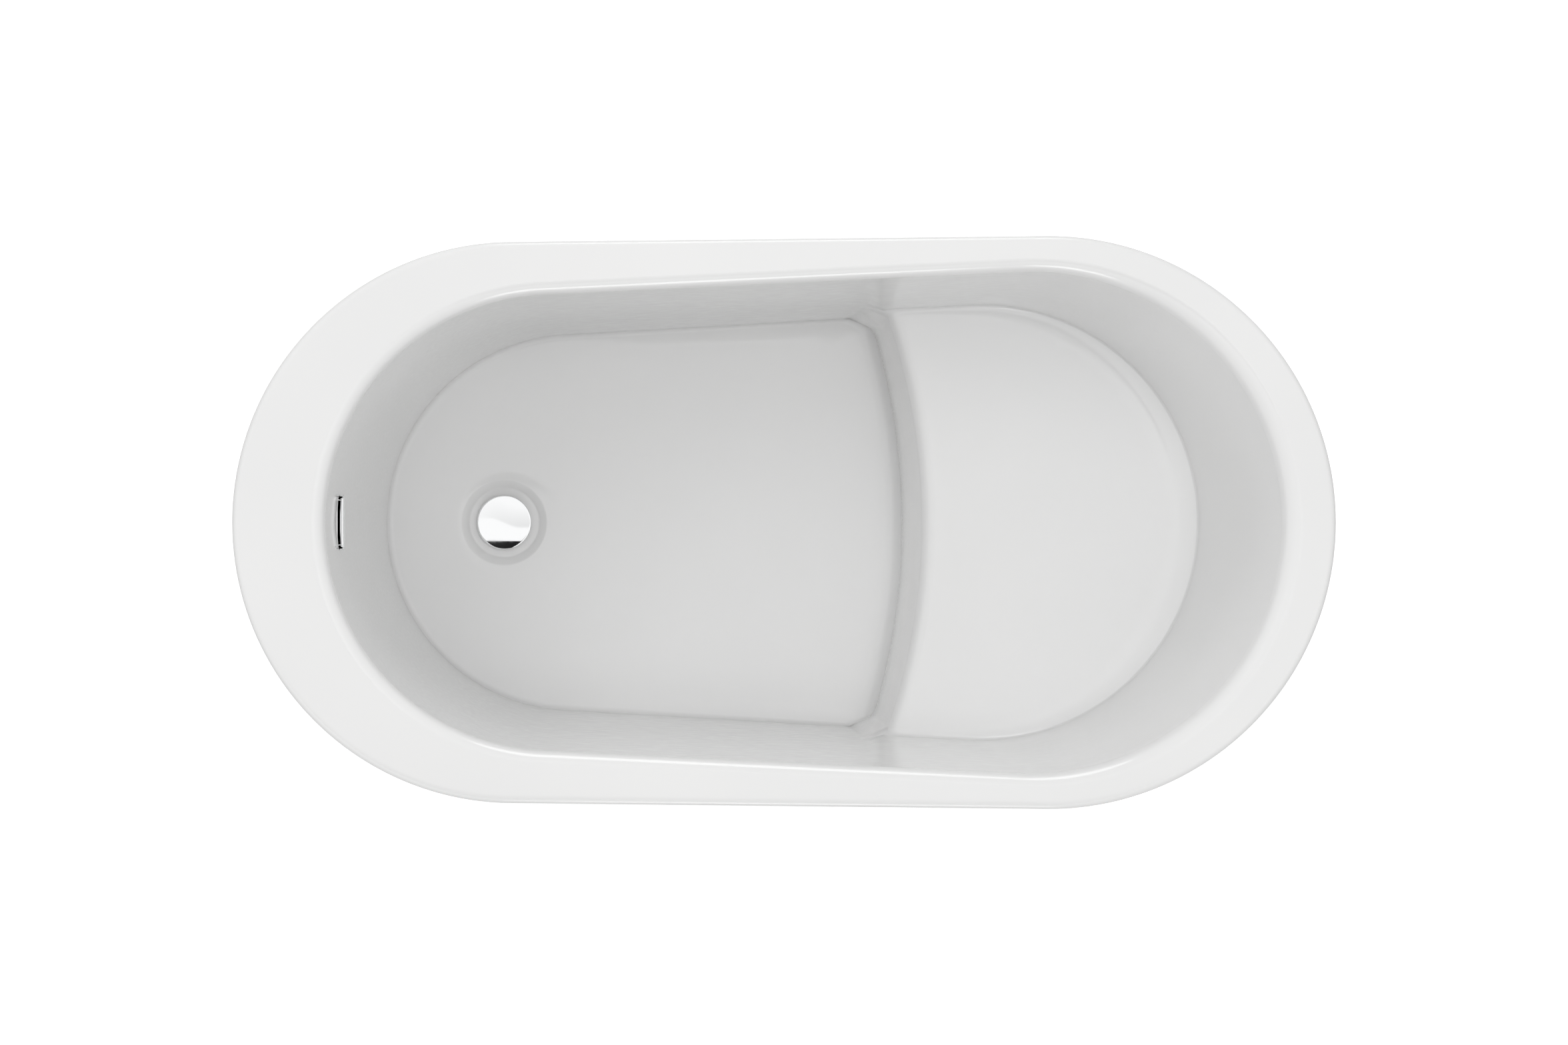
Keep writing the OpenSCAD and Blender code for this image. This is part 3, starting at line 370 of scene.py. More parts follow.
def lathe(name, outline, material, centre=(0.0, 0.0, 0.0), steps=128, sharp=35.0):
    """Turns a closed outline of (radius, height) points round the vertical axis."""
    points, faces, rows = [], [], []
    for r, z in outline:
        if r < 1e-6:
            rows.append([len(points)])
            points.append((centre[0], centre[1], centre[2] + z))
            continue
        rows.append(list(range(len(points), len(points) + steps)))
        for k in range(steps):
            a = 2 * math.pi * k / steps
            points.append((centre[0] + r * math.cos(a), centre[1] + r * math.sin(a), centre[2] + z))
    for low, high in zip(rows, rows[1:] + rows[:1]):
        for k in range(steps):
            k2 = (k + 1) % steps
            if len(low) == 1 and len(high) == 1:
                break
            if len(low) == 1:
                faces.append((low[0], high[k2], high[k]))
            elif len(high) == 1:
                faces.append((low[k], low[k2], high[0]))
            else:
                faces.append((low[k], low[k2], high[k2], high[k]))
    return from_points(name, points, faces, material, sharp)


# ------------------------------------------------------------------ the basin's surface
def clamp01(t):
    return np.clip(t, 0.0, 1.0)


def smooth(t):
    c = clamp01(t)
    return c * c * (3 - 2 * c)


def lerp(a, b, t):
    return a + (b - a) * t


def slope_of(degrees):
    return math.tan(math.radians(degrees))


def wall_outline(depth):
    """Well at a depth below the rim, as two half circles: x, radius, x, radius."""
    r1 = LIP_R_DRAIN - depth * slope_of(SIDE_DRAFT)
    r2 = LIP_R_SEAT - depth * slope_of(SIDE_DRAFT)
    x1 = -TUB_LENGTH / 2 + RIM_DRAIN_END + depth * slope_of(DRAIN_END_DRAFT) + r1
    x2 = TUB_LENGTH / 2 - RIM_SEAT_END - depth * slope_of(BACKREST_DRAFT) - r2
    return x1, r1, x2, r2


def outline_distance(x, y, outline):
    """Distance outside an outline of two half circles and their tangents, negative inside."""
    x1, r1, x2, r2 = outline
    h = x2 - x1
    b = (r1 - r2) / h
    a = np.sqrt(1 - b * b)
    v, w = np.abs(y), x - x1
    k = a * w - b * v
    side = a * v + b * w - r1
    side = np.where(k > a * h, np.hypot(v, w - h) - r2, side)
    return np.where(k < 0, np.hypot(v, w) - r1, side)


def fillet(a, b, r):
    """Open space inside both faces, with a radius in the corner between them."""
    return np.maximum(r, np.minimum(a, b)) - np.hypot(np.maximum(r - a, 0), np.maximum(r - b, 0))


def rounded(a, b, r):
    """Open space over either face, with the edge between them rounded."""
    return np.minimum(-r, np.maximum(a, b)) + np.hypot(np.maximum(r + a, 0), np.maximum(r + b, 0))


def lip_radius(x):
    """Radius of the lip at a place along the tub. It grows over the backrest."""
    x0 = wall_outline(0.0)[2]
    t = np.maximum(0, (x - x0) / (TUB_LENGTH / 2 - RIM_SEAT_END - x0))
    return LIP_R + (SEAT_LIP_R - LIP_R) * (t * t / (t + LIP_BLEND) * (1 + LIP_BLEND))


def seat_front(depth):
    """Middle of the seat's front face at a depth, and the radius that it is bowed with."""
    t = (depth - SEAT_DEPTH) / (WELL_DEPTH - SEAT_DEPTH)
    return (SEAT_FRONT_X + (SEAT_FOOT_X - SEAT_FRONT_X) * t * (2 - t),
            SEAT_FRONT_R + (SEAT_FOOT_R - SEAT_FRONT_R) * t)


def basin_distance(p):
    """Positive in the open above the basin, zero on its face."""
    x, y, z = p[..., 0], p[..., 1], p[..., 2]
    depth = TUB_HEIGHT - z
    step = SEAT_STEP * clamp01(depth / SEAT_DEPTH) * clamp01((x - SEAT_STEP_X) / SEAT_STEP_RUN) ** 2
    wall = -outline_distance(x, y, wall_outline(depth)) * math.cos(math.radians(SIDE_DRAFT)) - step
    rim = rounded(wall, z - TUB_HEIGHT, lip_radius(x))
    dish = (RECESS_D / 2 - np.hypot(x - DRAIN_X, y)) / (RECESS_D - RECESS_FLAT_D) * 2
    well = fillet(rim, z - FLOOR_Z + RECESS_DEPTH * clamp01(dish), FLOOR_FILLET_R)
    fx, fr = seat_front(depth)
    lean = math.atan((SEAT_FRONT_X - SEAT_FOOT_X) / (WELL_DEPTH - SEAT_DEPTH))
    front = (fr - np.hypot(x - fx + fr, y)) * math.cos(lean)
    fade = smooth((z - SEAT_Z + FADE_END) / FADE_HEIGHT + 1)
    return fillet(well, rounded(front, z - SEAT_Z, SEAT_EDGE_R), lerp(FRONT_FILLET_R, SEAT_FILLET_R, fade))


def basin_slope(p):
    """How the distance grows along X, Y and Z at the points."""
    nudge = 0.05
    parts = []
    for axis in range(3):
        d = np.zeros(3)
        d[axis] = nudge
        parts.append((basin_distance(p + d) - basin_distance(p - d)) / (2 * nudge))
    return np.stack(parts, -1)


def settle(p, rounds=4):
    """Moves points onto the basin's face."""
    for _ in range(rounds):
        g = basin_slope(p)
        p = p - g * (basin_distance(p) / (g * g).sum(-1))[..., None]
    return p


def on_outline(outline, column):
    """Point of an outline on a column: the drain end's arc, the side or the seat end's arc."""
    x1, r1, x2, r2 = outline
    part, t, _ = column
    a = math.acos((r1 - r2) / (x2 - x1))
    if part == 0:
        turn = lerp(math.pi, a, t)
        return np.array([x1 + r1 * math.cos(turn), r1 * math.sin(turn)])
    if part == 2:
        turn = lerp(a, 0.0, t)
        return np.array([x2 + r2 * math.cos(turn), r2 * math.sin(turn)])
    return np.array([lerp(x1 + r1 * math.cos(a), x2 + r2 * math.cos(a), t), lerp(r1, r2, t) * math.sin(a)])


def basin_columns(arc_steps=44, side_steps=44, corner_steps=16, seat_steps=52):
    """Columns from the drain end's middle round to the seat end's middle, each (part, t, w).
    Part is 0 on the drain end's arc, 1 on the side and 2 on the seat end's arc, and t runs
    along it. w runs along the seat's front edge, from the wall to the middle, and is -1
    where the wall goes straight down to the floor."""
    gap, first, reach = 0.012, 0.03, 4.0 / 13.0
    columns = [(0, k / arc_steps, -1.0) for k in range(arc_steps + 1)]
    columns += [(1, k / side_steps * (SEAT_CORNER_T - gap), -1.0) for k in range(1, side_steps + 1)]
    for k in range(corner_steps):
        share = k / corner_steps
        columns.append((1, lerp(SEAT_CORNER_T + gap, 1.0, share), lerp(first, reach, share)))
    columns += [(2, k / seat_steps, lerp(reach, 1.0, k / seat_steps)) for k in range(seat_steps + 1)]
    return columns


def column_knots(column):
    """First guess of the face along a column, from the lip down to the drain. Round a fillet
    the knots lie at shares of its radius: inside its arc, just past it and clear of it."""
    inside, lip_inside, past, clear = 0.4, 0.45, 1.05, 1.1
    half_wall, low_front = 0.5, 0.55

    def wall(depth, c=column):
        q = on_outline(wall_outline(depth), c)
        return np.array([q[0], q[1], TUB_HEIGHT - depth])

    def outward(distance):
        x1, r1, x2, r2 = wall_outline(0.0)
        q = on_outline((x1, r1 + distance, x2, r2 + distance), column)
        return np.array([q[0], q[1], TUB_HEIGHT])

    def towards(p, q, distance):
        return p + (q - p) * (distance / np.linalg.norm(q - p))

    def front(y, depth):
        fx, fr = seat_front(depth)
        return np.array([fx - fr + math.sqrt(fr * fr - y * y), y, TUB_HEIGHT - depth])

    def drain(r, drop=0.0):
        centre = np.array([DRAIN_X, 0.0, FLOOR_Z])
        q = foot - centre
        return centre + q * (r / np.linalg.norm(q)) - np.array([0.0, 0.0, drop])

    part, t, w = column
    rl = float(lip_radius(wall(0.0)[0]))
    seat = w >= 0
    half_front = wall(SEAT_DEPTH, (1, SEAT_CORNER_T, -1))[1] - SEAT_STEP
    half_foot = wall(WELL_DEPTH, (1, SEAT_CORNER_T, -1))[1]
    crease = wall(SEAT_DEPTH)
    if seat:
        edge, foot = front(half_front * (1 - w), SEAT_DEPTH), front(half_foot * (1 - w), WELL_DEPTH)
        reach = np.linalg.norm(edge - crease)
        widest = reach * 0.3
        rs, re = min(SEAT_FILLET_R, widest), min(SEAT_EDGE_R, widest)
        above = wall(SEAT_DEPTH - SEAT_FILLET_R * clear)
        below = towards(edge, foot, SEAT_EDGE_R * clear)
        a, b = towards(crease, edge, rs), towards(edge, crease, re)
        path = [above, wall(SEAT_DEPTH - SEAT_FILLET_R * inside), towards(crease, edge, rs * inside),
                towards(crease, edge, rs * past), lerp(a, b, 0.33), lerp(a, b, 0.67),
                towards(edge, crease, re * past), towards(edge, crease, re * inside),
                towards(edge, foot, SEAT_EDGE_R * inside), below]
        # Near the corner the seat is narrow, so its knots run straight from wall to front
        narrow, full = 20, 120
        wide = float(smooth((reach - narrow) / (full - narrow)))
        middle = [wall(SEAT_DEPTH * half_wall)]
        middle += [lerp(lerp(above, below, k / 9), path[k], wide) for k in range(10)]
        middle += [lerp(edge, foot, low_front)]
    else:
        foot = wall(WELL_DEPTH)
        # Towards the seat the knots crowd round its level, to meet those of the next column
        near = float(smooth(t / SEAT_CORNER_T * 1.5 - 0.5)) if part == 1 else 0.0
        first, last, spacing = 0.2, 0.85, 8
        levels = [SEAT_DEPTH * half_wall] + [SEAT_DEPTH + (k - 5.5) * spacing for k in range(1, 11)]
        levels.append(lerp(SEAT_DEPTH, WELL_DEPTH, low_front))
        middle = []
        for k, level in enumerate(levels):
            even = lerp(first, last, k / 11) * WELL_DEPTH
            middle.append(wall(lerp(even, level, near)))
    over, rf = (edge, FRONT_FILLET_R) if seat else (wall(0.0), FLOOR_FILLET_R)
    return ([outward(past * rl), outward(lip_inside * rl), wall(lip_inside * rl), wall(past * rl)]
            + middle
            + [towards(foot, over, rf * clear), towards(foot, over, rf * inside),
               towards(foot, drain(0), rf * inside), towards(foot, drain(0), rf * clear),
               lerp(towards(foot, drain(0), rf), drain(RECESS_D / 2 + 3), 0.5),
               drain(RECESS_D / 2 + 1), drain((RECESS_D + RECESS_FLAT_D) / 4, RECESS_DEPTH / 2),
               drain(RECESS_FLAT_D / 2 - 1, RECESS_DEPTH), drain(NECK_D / 2 - 1, RECESS_DEPTH)])


# Rows of the mesh from each knot of a column to the next, from the lip down to the drain
KNOT_STEPS = [4, 4, 4, 7, 7, 4, 4, 4, 4, 4, 4, 4, 4, 4, 6, 6, 4, 4, 4, 5, 6, 5, 5, 2]


def rim_point(column, inset, drop, tilt):
    """Point of the rim, an inset in from its outline, and the way its face looks there."""
    def at(r_drain, r_seat):
        return on_outline((RIM_X_DRAIN, r_drain, RIM_X_SEAT, r_seat), column)

    step = 10
    q = at(RIM_R_DRAIN - inset, RIM_R_SEAT - inset)
    q1 = at(RIM_R_DRAIN - inset - step, RIM_R_SEAT - inset - step)
    n = (q - q1) / np.linalg.norm(q - q1) * math.cos(tilt)
    return (q[0], q[1], TUB_HEIGHT - drop), (n[0], n[1], math.sin(tilt))


def basin_shell(material):
    """The acrylic moulding: a closed wall of even thickness, its face taken from the
    distance function, its underside the same face moved down its own normal."""
    columns = basin_columns()
    knots = settle(np.array([column_knots(c) for c in columns]))
    rows = []
    for k, steps in enumerate(KNOT_STEPS):
        rows += [lerp(knots[:, k], knots[:, k + 1], i / steps) for i in range(steps)]
    face = settle(np.stack(rows + [knots[:, -1]], 1))
    way = basin_slope(face)
    way /= np.linalg.norm(way, axis=-1)[..., None]
    chamfer, flat, turns = 0.8, 4, 8
    rim = []
    for c in columns:
        line = [rim_point(c, chamfer, RIM_FLANGE_H, 0.0), rim_point(c, 0.0, RIM_FLANGE_H - chamfer, 0.0)]
        for k in range(turns + 1):
            tilt = k / turns * math.pi / 2
            inset, drop = RIM_EDGE_R * (1 - math.cos(tilt)), RIM_EDGE_R * (1 - math.sin(tilt))
            line.append(rim_point(c, inset, drop, tilt))
        line.append(rim_point(c, RIM_EDGE_R + flat, 0.0, math.pi / 2))
        rim.append(line)
    rim = np.array(rim)
    top = np.concatenate([rim[:, :, 0], face], 1)
    normal = np.concatenate([rim[:, :, 1], way], 1)
    last = top.shape[1] - 1
    under = list(range(0, last, 2)) + [last]
    below = top[:, under] - normal[:, under] * SHELL_T
    below[:, 0] += normal[:, 0] * chamfer
    loop = np.concatenate([top, below[:, ::-1]], 1)
    other = loop[-2:0:-1] * np.array([1.0, -1.0, 1.0])
    loop = np.concatenate([loop, other], 0)
    around, n = loop.shape[:2]
    index = np.arange(around * n).reshape(around, n)
    beside, next_row = np.roll(index, -1, 0), np.roll(index, -1, 1)
    quads = np.stack([index, next_row, np.roll(beside, -1, 1), beside], -1).reshape(-1, 4)
    return from_points("basin_shell", loop.reshape(-1, 3), quads.tolist(), material, 50.0)


def overflow_frame():
    """Where the overflow sits: X out of the drain end's wall, tipped with the wall."""
    x1, r1, _, _ = wall_outline(OVERFLOW_DEPTH)
    place = Vector((x1 - r1, 0.0, TUB_HEIGHT - OVERFLOW_DEPTH)) * MM
    return Matrix.Translation(place) @ Matrix.Rotation(math.radians(-DRAIN_END_DRAFT), 4, "Y")


def slot_prism(name, rings, material, steps=28):
    """Solid with round ends along Y, through rings of (x, length, height) in millimetres."""
    points, faces = [], []
    for x, length, height in rings:
        for side in (1, -1):
            for k in range(steps + 1):
                a = math.pi * k / steps
                y = side * ((length - height) / 2 + math.sin(a) * height / 2)
                points.append((x, y, side * math.cos(a) * height / 2))
    n = 2 * (steps + 1)
    for row in range(len(rings) - 1):
        for k in range(n):
            k2 = (k + 1) % n
            faces.append((row * n + k, row * n + k2, (row + 1) * n + k2, (row + 1) * n + k))
    faces.append(tuple(range(n - 1, -1, -1)))
    faces.append(tuple((len(rings) - 1) * n + k for k in range(n)))
    made = from_points(name, points, faces, material)
    work = bmesh.new()
    work.from_mesh(made.data)
    bmesh.ops.recalc_face_normals(work, faces=work.faces)
    work.to_mesh(made.data)
    work.free()
    made.data.transform(overflow_frame())
    return made


def overflow_cover(material):
    """Chrome overflow: rounded shoulders, open slot along its top with a hole at each of the
    slot's ends, hollow behind."""
    shoulder, turns, back, hollow_back, slot_x = 1.2, 8, -16.0, -18.0, 0.2
    rings = [(back, OVERFLOW_L, OVERFLOW_H), (OVERFLOW_OUT - shoulder, OVERFLOW_L, OVERFLOW_H)]
    for k in range(1, turns + 1):
        a = k / turns * math.pi / 2
        cut = 2 * shoulder * (1 - math.cos(a))
        rings.append((OVERFLOW_OUT - shoulder + shoulder * math.sin(a), OVERFLOW_L - cut, OVERFLOW_H - cut))
    cover = slot_prism("overflow_cover", rings, material)
    hollow = slot_prism("hollow", [(x, OVERFLOW_L - 2 * COVER_T, OVERFLOW_H - 2 * COVER_T)
                                   for x in (hollow_back, OVERFLOW_OUT - COVER_T)], material)
    half, front = OVERFLOW_SLOT_L / 2, slot_x + OVERFLOW_SLOT_W
    mouth = prism("mouth", [(slot_x, -half), (front, -half), (front, half), (slot_x, half)],
                  0.0, OVERFLOW_H, material)
    ends = []
    for side in (-1, 1):
        y = side * (half + END_HOLE_BRIDGE + END_HOLE_L / 2)
        turn = [2 * math.pi * k / 32 for k in range(32)]
        ends.append(prism("end_hole", [(OVERFLOW_OUT / 2 + END_HOLE_W / 2 * math.cos(a),
                                        y + END_HOLE_L / 2 * math.sin(a)) for a in turn],
                          0.0, OVERFLOW_H, material))
    return smooth_faces(carve(cover, hollow, mouth, *ends), 30.0)


def prism(name, outline, low, high, material):
    """Upright solid on the overflow's frame, from an anticlockwise outline."""
    n = len(outline)
    points = [(x, y, z) for z in (low, high) for x, y in outline]
    faces = [tuple(range(n - 1, -1, -1)), tuple(range(n, 2 * n))]
    faces += [(k, (k + 1) % n, n + (k + 1) % n, n + k) for k in range(n)]
    made = from_points(name, points, faces, material)
    made.data.transform(overflow_frame())
    return made


def plug_top(material):
    """Chrome cap: a low dome with a rolled edge, flat below."""
    lower_r, upper_r, upper_z, dome_share = 1.2, 1.5, 2.5, 0.955
    outline = [(0.0, 0.0), (CAP_R - lower_r, 0.0)]
    outline += [(CAP_R - lower_r + lower_r * math.sin(a), lower_r - lower_r * math.cos(a))
                for a in np.linspace(0.2, math.pi / 2, 6)]
    outline += [(CAP_R - upper_r + upper_r * math.cos(a), upper_z + upper_r * math.sin(a))
                for a in np.linspace(0.1, 1.52, 10)]
    outline += [(t * CAP_R, CAP_T - t * t) for t in np.linspace(dome_share, 0.0, 40)]
    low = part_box("plug_cap")[0]
    return lathe("plug_top", outline, material, (DRAIN_X, 0.0, low[2] / MM), 160)


# ------------------------------------------------------------------ geometry node trees
class Grower:
    """A Geometry Nodes tree with named sizes, grown into plain meshes."""

    def __init__(self, name, sizes):
        self.group = bpy.data.node_groups.new(name, "GeometryNodeTree")
        face = self.group.interface
        face.new_socket(name="Guide", in_out="INPUT", socket_type="NodeSocketGeometry")
        self.keys = {}
        for label in sizes:
            socket = face.new_socket(name=label, in_out="INPUT", socket_type="NodeSocketFloat")
            self.keys[label] = socket.identifier
        face.new_socket(name="Grown", in_out="OUTPUT", socket_type="NodeSocketGeometry")
        self.inlet = self.group.nodes.new("NodeGroupInput")

    def size(self, label):
        return self.inlet.outputs[label]

    def guide(self):
        return self.inlet.outputs["Guide"]

    def add(self, kind, inputs=None, out=0, **settings):
        n = self.group.nodes.new(kind)
        for key, value in settings.items():
            setattr(n, key, value)
        for key, value in (inputs or {}).items():
            if isinstance(value, bpy.types.NodeSocket):
                self.group.links.new(value, n.inputs[key])
            else:
                n.inputs[key].default_value = value
        return n.outputs[out]

    def math(self, operation, *values):
        return self.add("ShaderNodeMath", dict(enumerate(values)), operation=operation)

    def times(self, value, factor):
        return self.math("MULTIPLY", value, factor)

    def xyz(self, x=0.0, y=0.0, z=0.0):
        return self.add("ShaderNodeCombineXYZ", {0: x, 1: y, 2: z})

    def lift(self, shape, height, **turn):
        """The shape, moved up by a height."""
        place = {"Geometry": shape, "Translation": self.xyz(z=height)}
        return self.add("GeometryNodeTransform", {**place, **turn})

    def post(self, sides, radius, height):
        """Upright cylinder or prism, its middle at zero."""
        return self.add("GeometryNodeMeshCylinder", {"Vertices": sides, "Radius": radius, "Depth": height})

    def thread(self, root, tooth, run, pitch, steps, corners, upright=False):
        """Ridge that winds round the upright axis, from zero up to the run."""
        helix = self.add("GeometryNodeCurveSpiral",
                         {"Resolution": steps, "Rotations": self.math("DIVIDE", run, pitch),
                          "Start Radius": root, "End Radius": root, "Height": run})
        if upright:
            helix = self.add("GeometryNodeSetCurveNormal", {0: helix}, mode="Z_UP")
        crest = self.add("GeometryNodeCurvePrimitiveCircle", {"Resolution": corners, "Radius": tooth})
        return self.add("GeometryNodeCurveToMesh",
                        {"Curve": helix, "Profile Curve": crest, "Fill Caps": True})

    def join(self, *parts):
        n = self.group.nodes.new("GeometryNodeJoinGeometry")
        for part in reversed(parts):
            self.group.links.new(part, n.inputs[0])
        return n.outputs[0]

    def close(self, result, material):
        real = self.add("GeometryNodeRealizeInstances", {0: result})
        dressed = self.add("GeometryNodeSetMaterial", {0: real, "Material": material})
        last = self.group.nodes.new("NodeGroupOutput")
        self.group.links.new(dressed, last.inputs[0])

    def grow(self, name, guide, sizes, sharp=35.0):
        """Plain mesh piece from a guide mesh and this tree's sizes, in metres."""
        piece = new_object(name, guide)
        grower = piece.modifiers.new("grower", "NODES")
        grower.node_group = self.group
        for label, value in sizes.items():
            grower[self.keys[label]] = float(value)
        return smooth_faces(bake(piece), sharp)


def guide_mesh(name, points, ways=None):
    """Points of a guide, in millimetres, joined in a row where no ways are given."""
    mesh = bpy.data.meshes.new(name)
    edges = [] if ways else [(k, k + 1) for k in range(len(points) - 1)]
    mesh.from_pydata([tuple(c * MM for c in p) for p in points], edges, [])
    if ways:
        marks = mesh.attributes.new("way", "FLOAT_VECTOR", "POINT")
        for k, way in enumerate(ways):
            marks.data[k].vector = way
    return mesh


def skirt_tree(material):
    """Sweeps a section, whose points are (inset, drop), round the tub's outline."""
    labels = ["Drain X", "Drain Radius", "Seat X", "Seat Radius", "Rim Height", "Around", "Section Points"]
    g = Grower("skirt_outline", labels)
    around, rows = g.size("Around"), g.size("Section Points")
    cells = g.math("ADD", around, 1.0)
    grid = g.add("GeometryNodeMeshGrid", {"Vertices X": cells, "Vertices Y": rows})
    number = g.add("GeometryNodeInputIndex")
    column = g.math("FLOOR", g.math("DIVIDE", g.math("ADD", number, 0.5), rows))
    row = g.math("SUBTRACT", number, g.math("MULTIPLY", column, rows))
    turn = g.math("MULTIPLY", g.math("DIVIDE", column, around), math.tau)
    section = g.add("GeometryNodeSampleIndex",
                    {"Geometry": g.guide(), "Value": g.add("GeometryNodeInputPosition"), "Index": row},
                    data_type="FLOAT_VECTOR", domain="POINT")
    part = g.group.nodes.new("ShaderNodeSeparateXYZ")
    g.group.links.new(section, part.inputs[0])
    cos, sin = g.math("COSINE", turn), g.math("SINE", turn)
    apart = g.math("SUBTRACT", g.size("Seat X"), g.size("Drain X"))
    wider = g.math("SUBTRACT", g.size("Seat Radius"), g.size("Drain Radius"))
    seat_side = g.math("GREATER_THAN", g.math("ADD", g.math("MULTIPLY", apart, cos), wider), 0.0)

    def either(label):
        return g.add("ShaderNodeMapRange", {"Value": seat_side, "To Min": g.size("Drain " + label),
                                            "To Max": g.size("Seat " + label)})

    reach = g.math("SUBTRACT", either("Radius"), part.outputs[0])
    place = g.xyz(g.math("ADD", either("X"), g.math("MULTIPLY", reach, cos)),
                  g.math("MULTIPLY", reach, sin),
                  g.math("SUBTRACT", g.size("Rim Height"), part.outputs[1]))
    moved = g.add("GeometryNodeSetPosition", {"Geometry": grid, "Position": place})
    closed = g.add("GeometryNodeMergeByDistance", {"Geometry": moved, "Distance": 0.00001})
    g.close(closed, material)
    return g


def outer_skirt(material):
    """The smooth outer shell, its bottom edge rounded, joggled in behind the rim's flange."""
    def inset(drop):
        return drop * slope_of(SKIRT_DRAFT)

    foot_r, foot_cut, fold_r, fold_cut, joggle_in, joggle_out = 1.2, 0.35, 1.5, 0.4, 8, 20
    bottom = TUB_HEIGHT - SKIRT_GAP
    step = RIM_FLANGE_H + SEAM_GAP
    section = [(inset(bottom) + SKIRT_T / 2, bottom), (inset(bottom) + foot_r, bottom),
               (inset(bottom) + foot_cut, bottom - foot_cut), (inset(bottom), bottom - foot_r)]
    section += [(inset(d), d) for d in np.linspace(bottom - 40, step + 30, 8)]
    section += [(inset(step + fold_r), step + fold_r), (inset(step) + fold_cut, step + fold_cut),
                (inset(step) + fold_r, step), (SKIRT_TOP_INSET, step), (SKIRT_TOP_INSET, SHELL_T + BOND),
                (SKIRT_TOP_INSET + SKIRT_T, SHELL_T + BOND), (SKIRT_TOP_INSET + SKIRT_T, step + joggle_in),
                (inset(step + joggle_out) + SKIRT_T, step + joggle_out), (inset(bottom) + SKIRT_T, bottom)]
    section.append(section[0])
    guide = guide_mesh("skirt_section", [(a, b, 0.0) for a, b in section])
    made = skirt_tree(material).grow("outer_skirt", guide, {
        "Drain X": RIM_X_DRAIN * MM, "Drain Radius": RIM_R_DRAIN * MM, "Seat X": RIM_X_SEAT * MM,
        "Seat Radius": RIM_R_SEAT * MM, "Rim Height": TUB_HEIGHT * MM, "Around": 240,
        "Section Points": len(section)}, 40.0)
    return outwards(made)


def outwards(piece):
    """Merges doubled points and points the faces of a closed piece outwards."""
    doubled_within = 0.000005
    work = bmesh.new()
    work.from_mesh(piece.data)
    bmesh.ops.remove_doubles(work, verts=work.verts, dist=doubled_within)
    bmesh.ops.recalc_face_normals(work, faces=work.faces)
    work.to_mesh(piece.data)
    work.free()
    return piece


def hose_tree(material):
    """Ribbed hose along a guide line: the bore stays even, the wall swells at each rib."""
    g = Grower("ribbed_hose", ["Radius", "Bore", "Rib Depth", "Rib Pitch"])
    line = g.add("GeometryNodeMeshToCurve", {0: g.guide()})
    spacing = g.math("DIVIDE", g.size("Rib Pitch"), 6.0)
    even = g.add("GeometryNodeResampleCurve", {"Curve": line, "Length": spacing}, mode="LENGTH")
    along = g.add("GeometryNodeSplineParameter", out=1)
    wave = g.math("COSINE", g.math("MULTIPLY", g.math("DIVIDE", along, g.size("Rib Pitch")), math.tau))
    dip = g.math("MULTIPLY", g.times(g.math("SUBTRACT", 1.0, wave), 0.5), g.size("Rib Depth"))
    swell = g.math("SUBTRACT", g.size("Radius"), dip)
    ring = g.add("GeometryNodeCurvePrimitiveCircle", {"Resolution": 32, "Radius": 1.0})
    wall = g.add("GeometryNodeCurveToMesh", {"Curve": even, "Profile Curve": ring, "Scale": swell})
    bore = g.add("GeometryNodeCurveToMesh", {"Curve": even, "Profile Curve": ring, "Scale": g.size("Bore")})
    turned = g.add("GeometryNodeFlipFaces", {0: bore})
    g.close(g.join(wall, turned), material)
    return g


def overflow_pipe(material):
    """Overflow hose: down behind the well, one bend, level to the waste body."""
    low, high = (np.array(v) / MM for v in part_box("overflow_hose"))
    bend = HOSE_BEND_R
    x, top, level = low[0] + HOSE_R, high[2], low[2] + HOSE_R
    route = [(x, 0.0, top - s) for s in np.linspace(0, top - level - bend, 30)]
    route += [(x + bend - bend * math.cos(a), 0.0, level + bend - bend * math.sin(a))
              for a in np.linspace(0.06, math.pi / 2, 24)]
    route += [(s, 0.0, level) for s in np.linspace(x + bend + 4, high[0], 12)]
    pipe = hose_tree(material).grow("overflow_pipe", guide_mesh("hose_line", route),
                                    {"Radius": HOSE_R * MM, "Bore": 0.0105, "Rib Depth": 0.0016,
                                     "Rib Pitch": 0.006}, 60.0)
    work = bmesh.new()
    work.from_mesh(pipe.data)
    at_top = [e for e in work.edges if e.is_boundary and e.verts[0].co.z > (top - 1) * MM]
    bmesh.ops.bridge_loops(work, edges=at_top)
    bmesh.ops.bridge_loops(work, edges=[e for e in work.edges if e.is_boundary])
    work.to_mesh(pipe.data)
    work.free()
    return outwards(pipe)


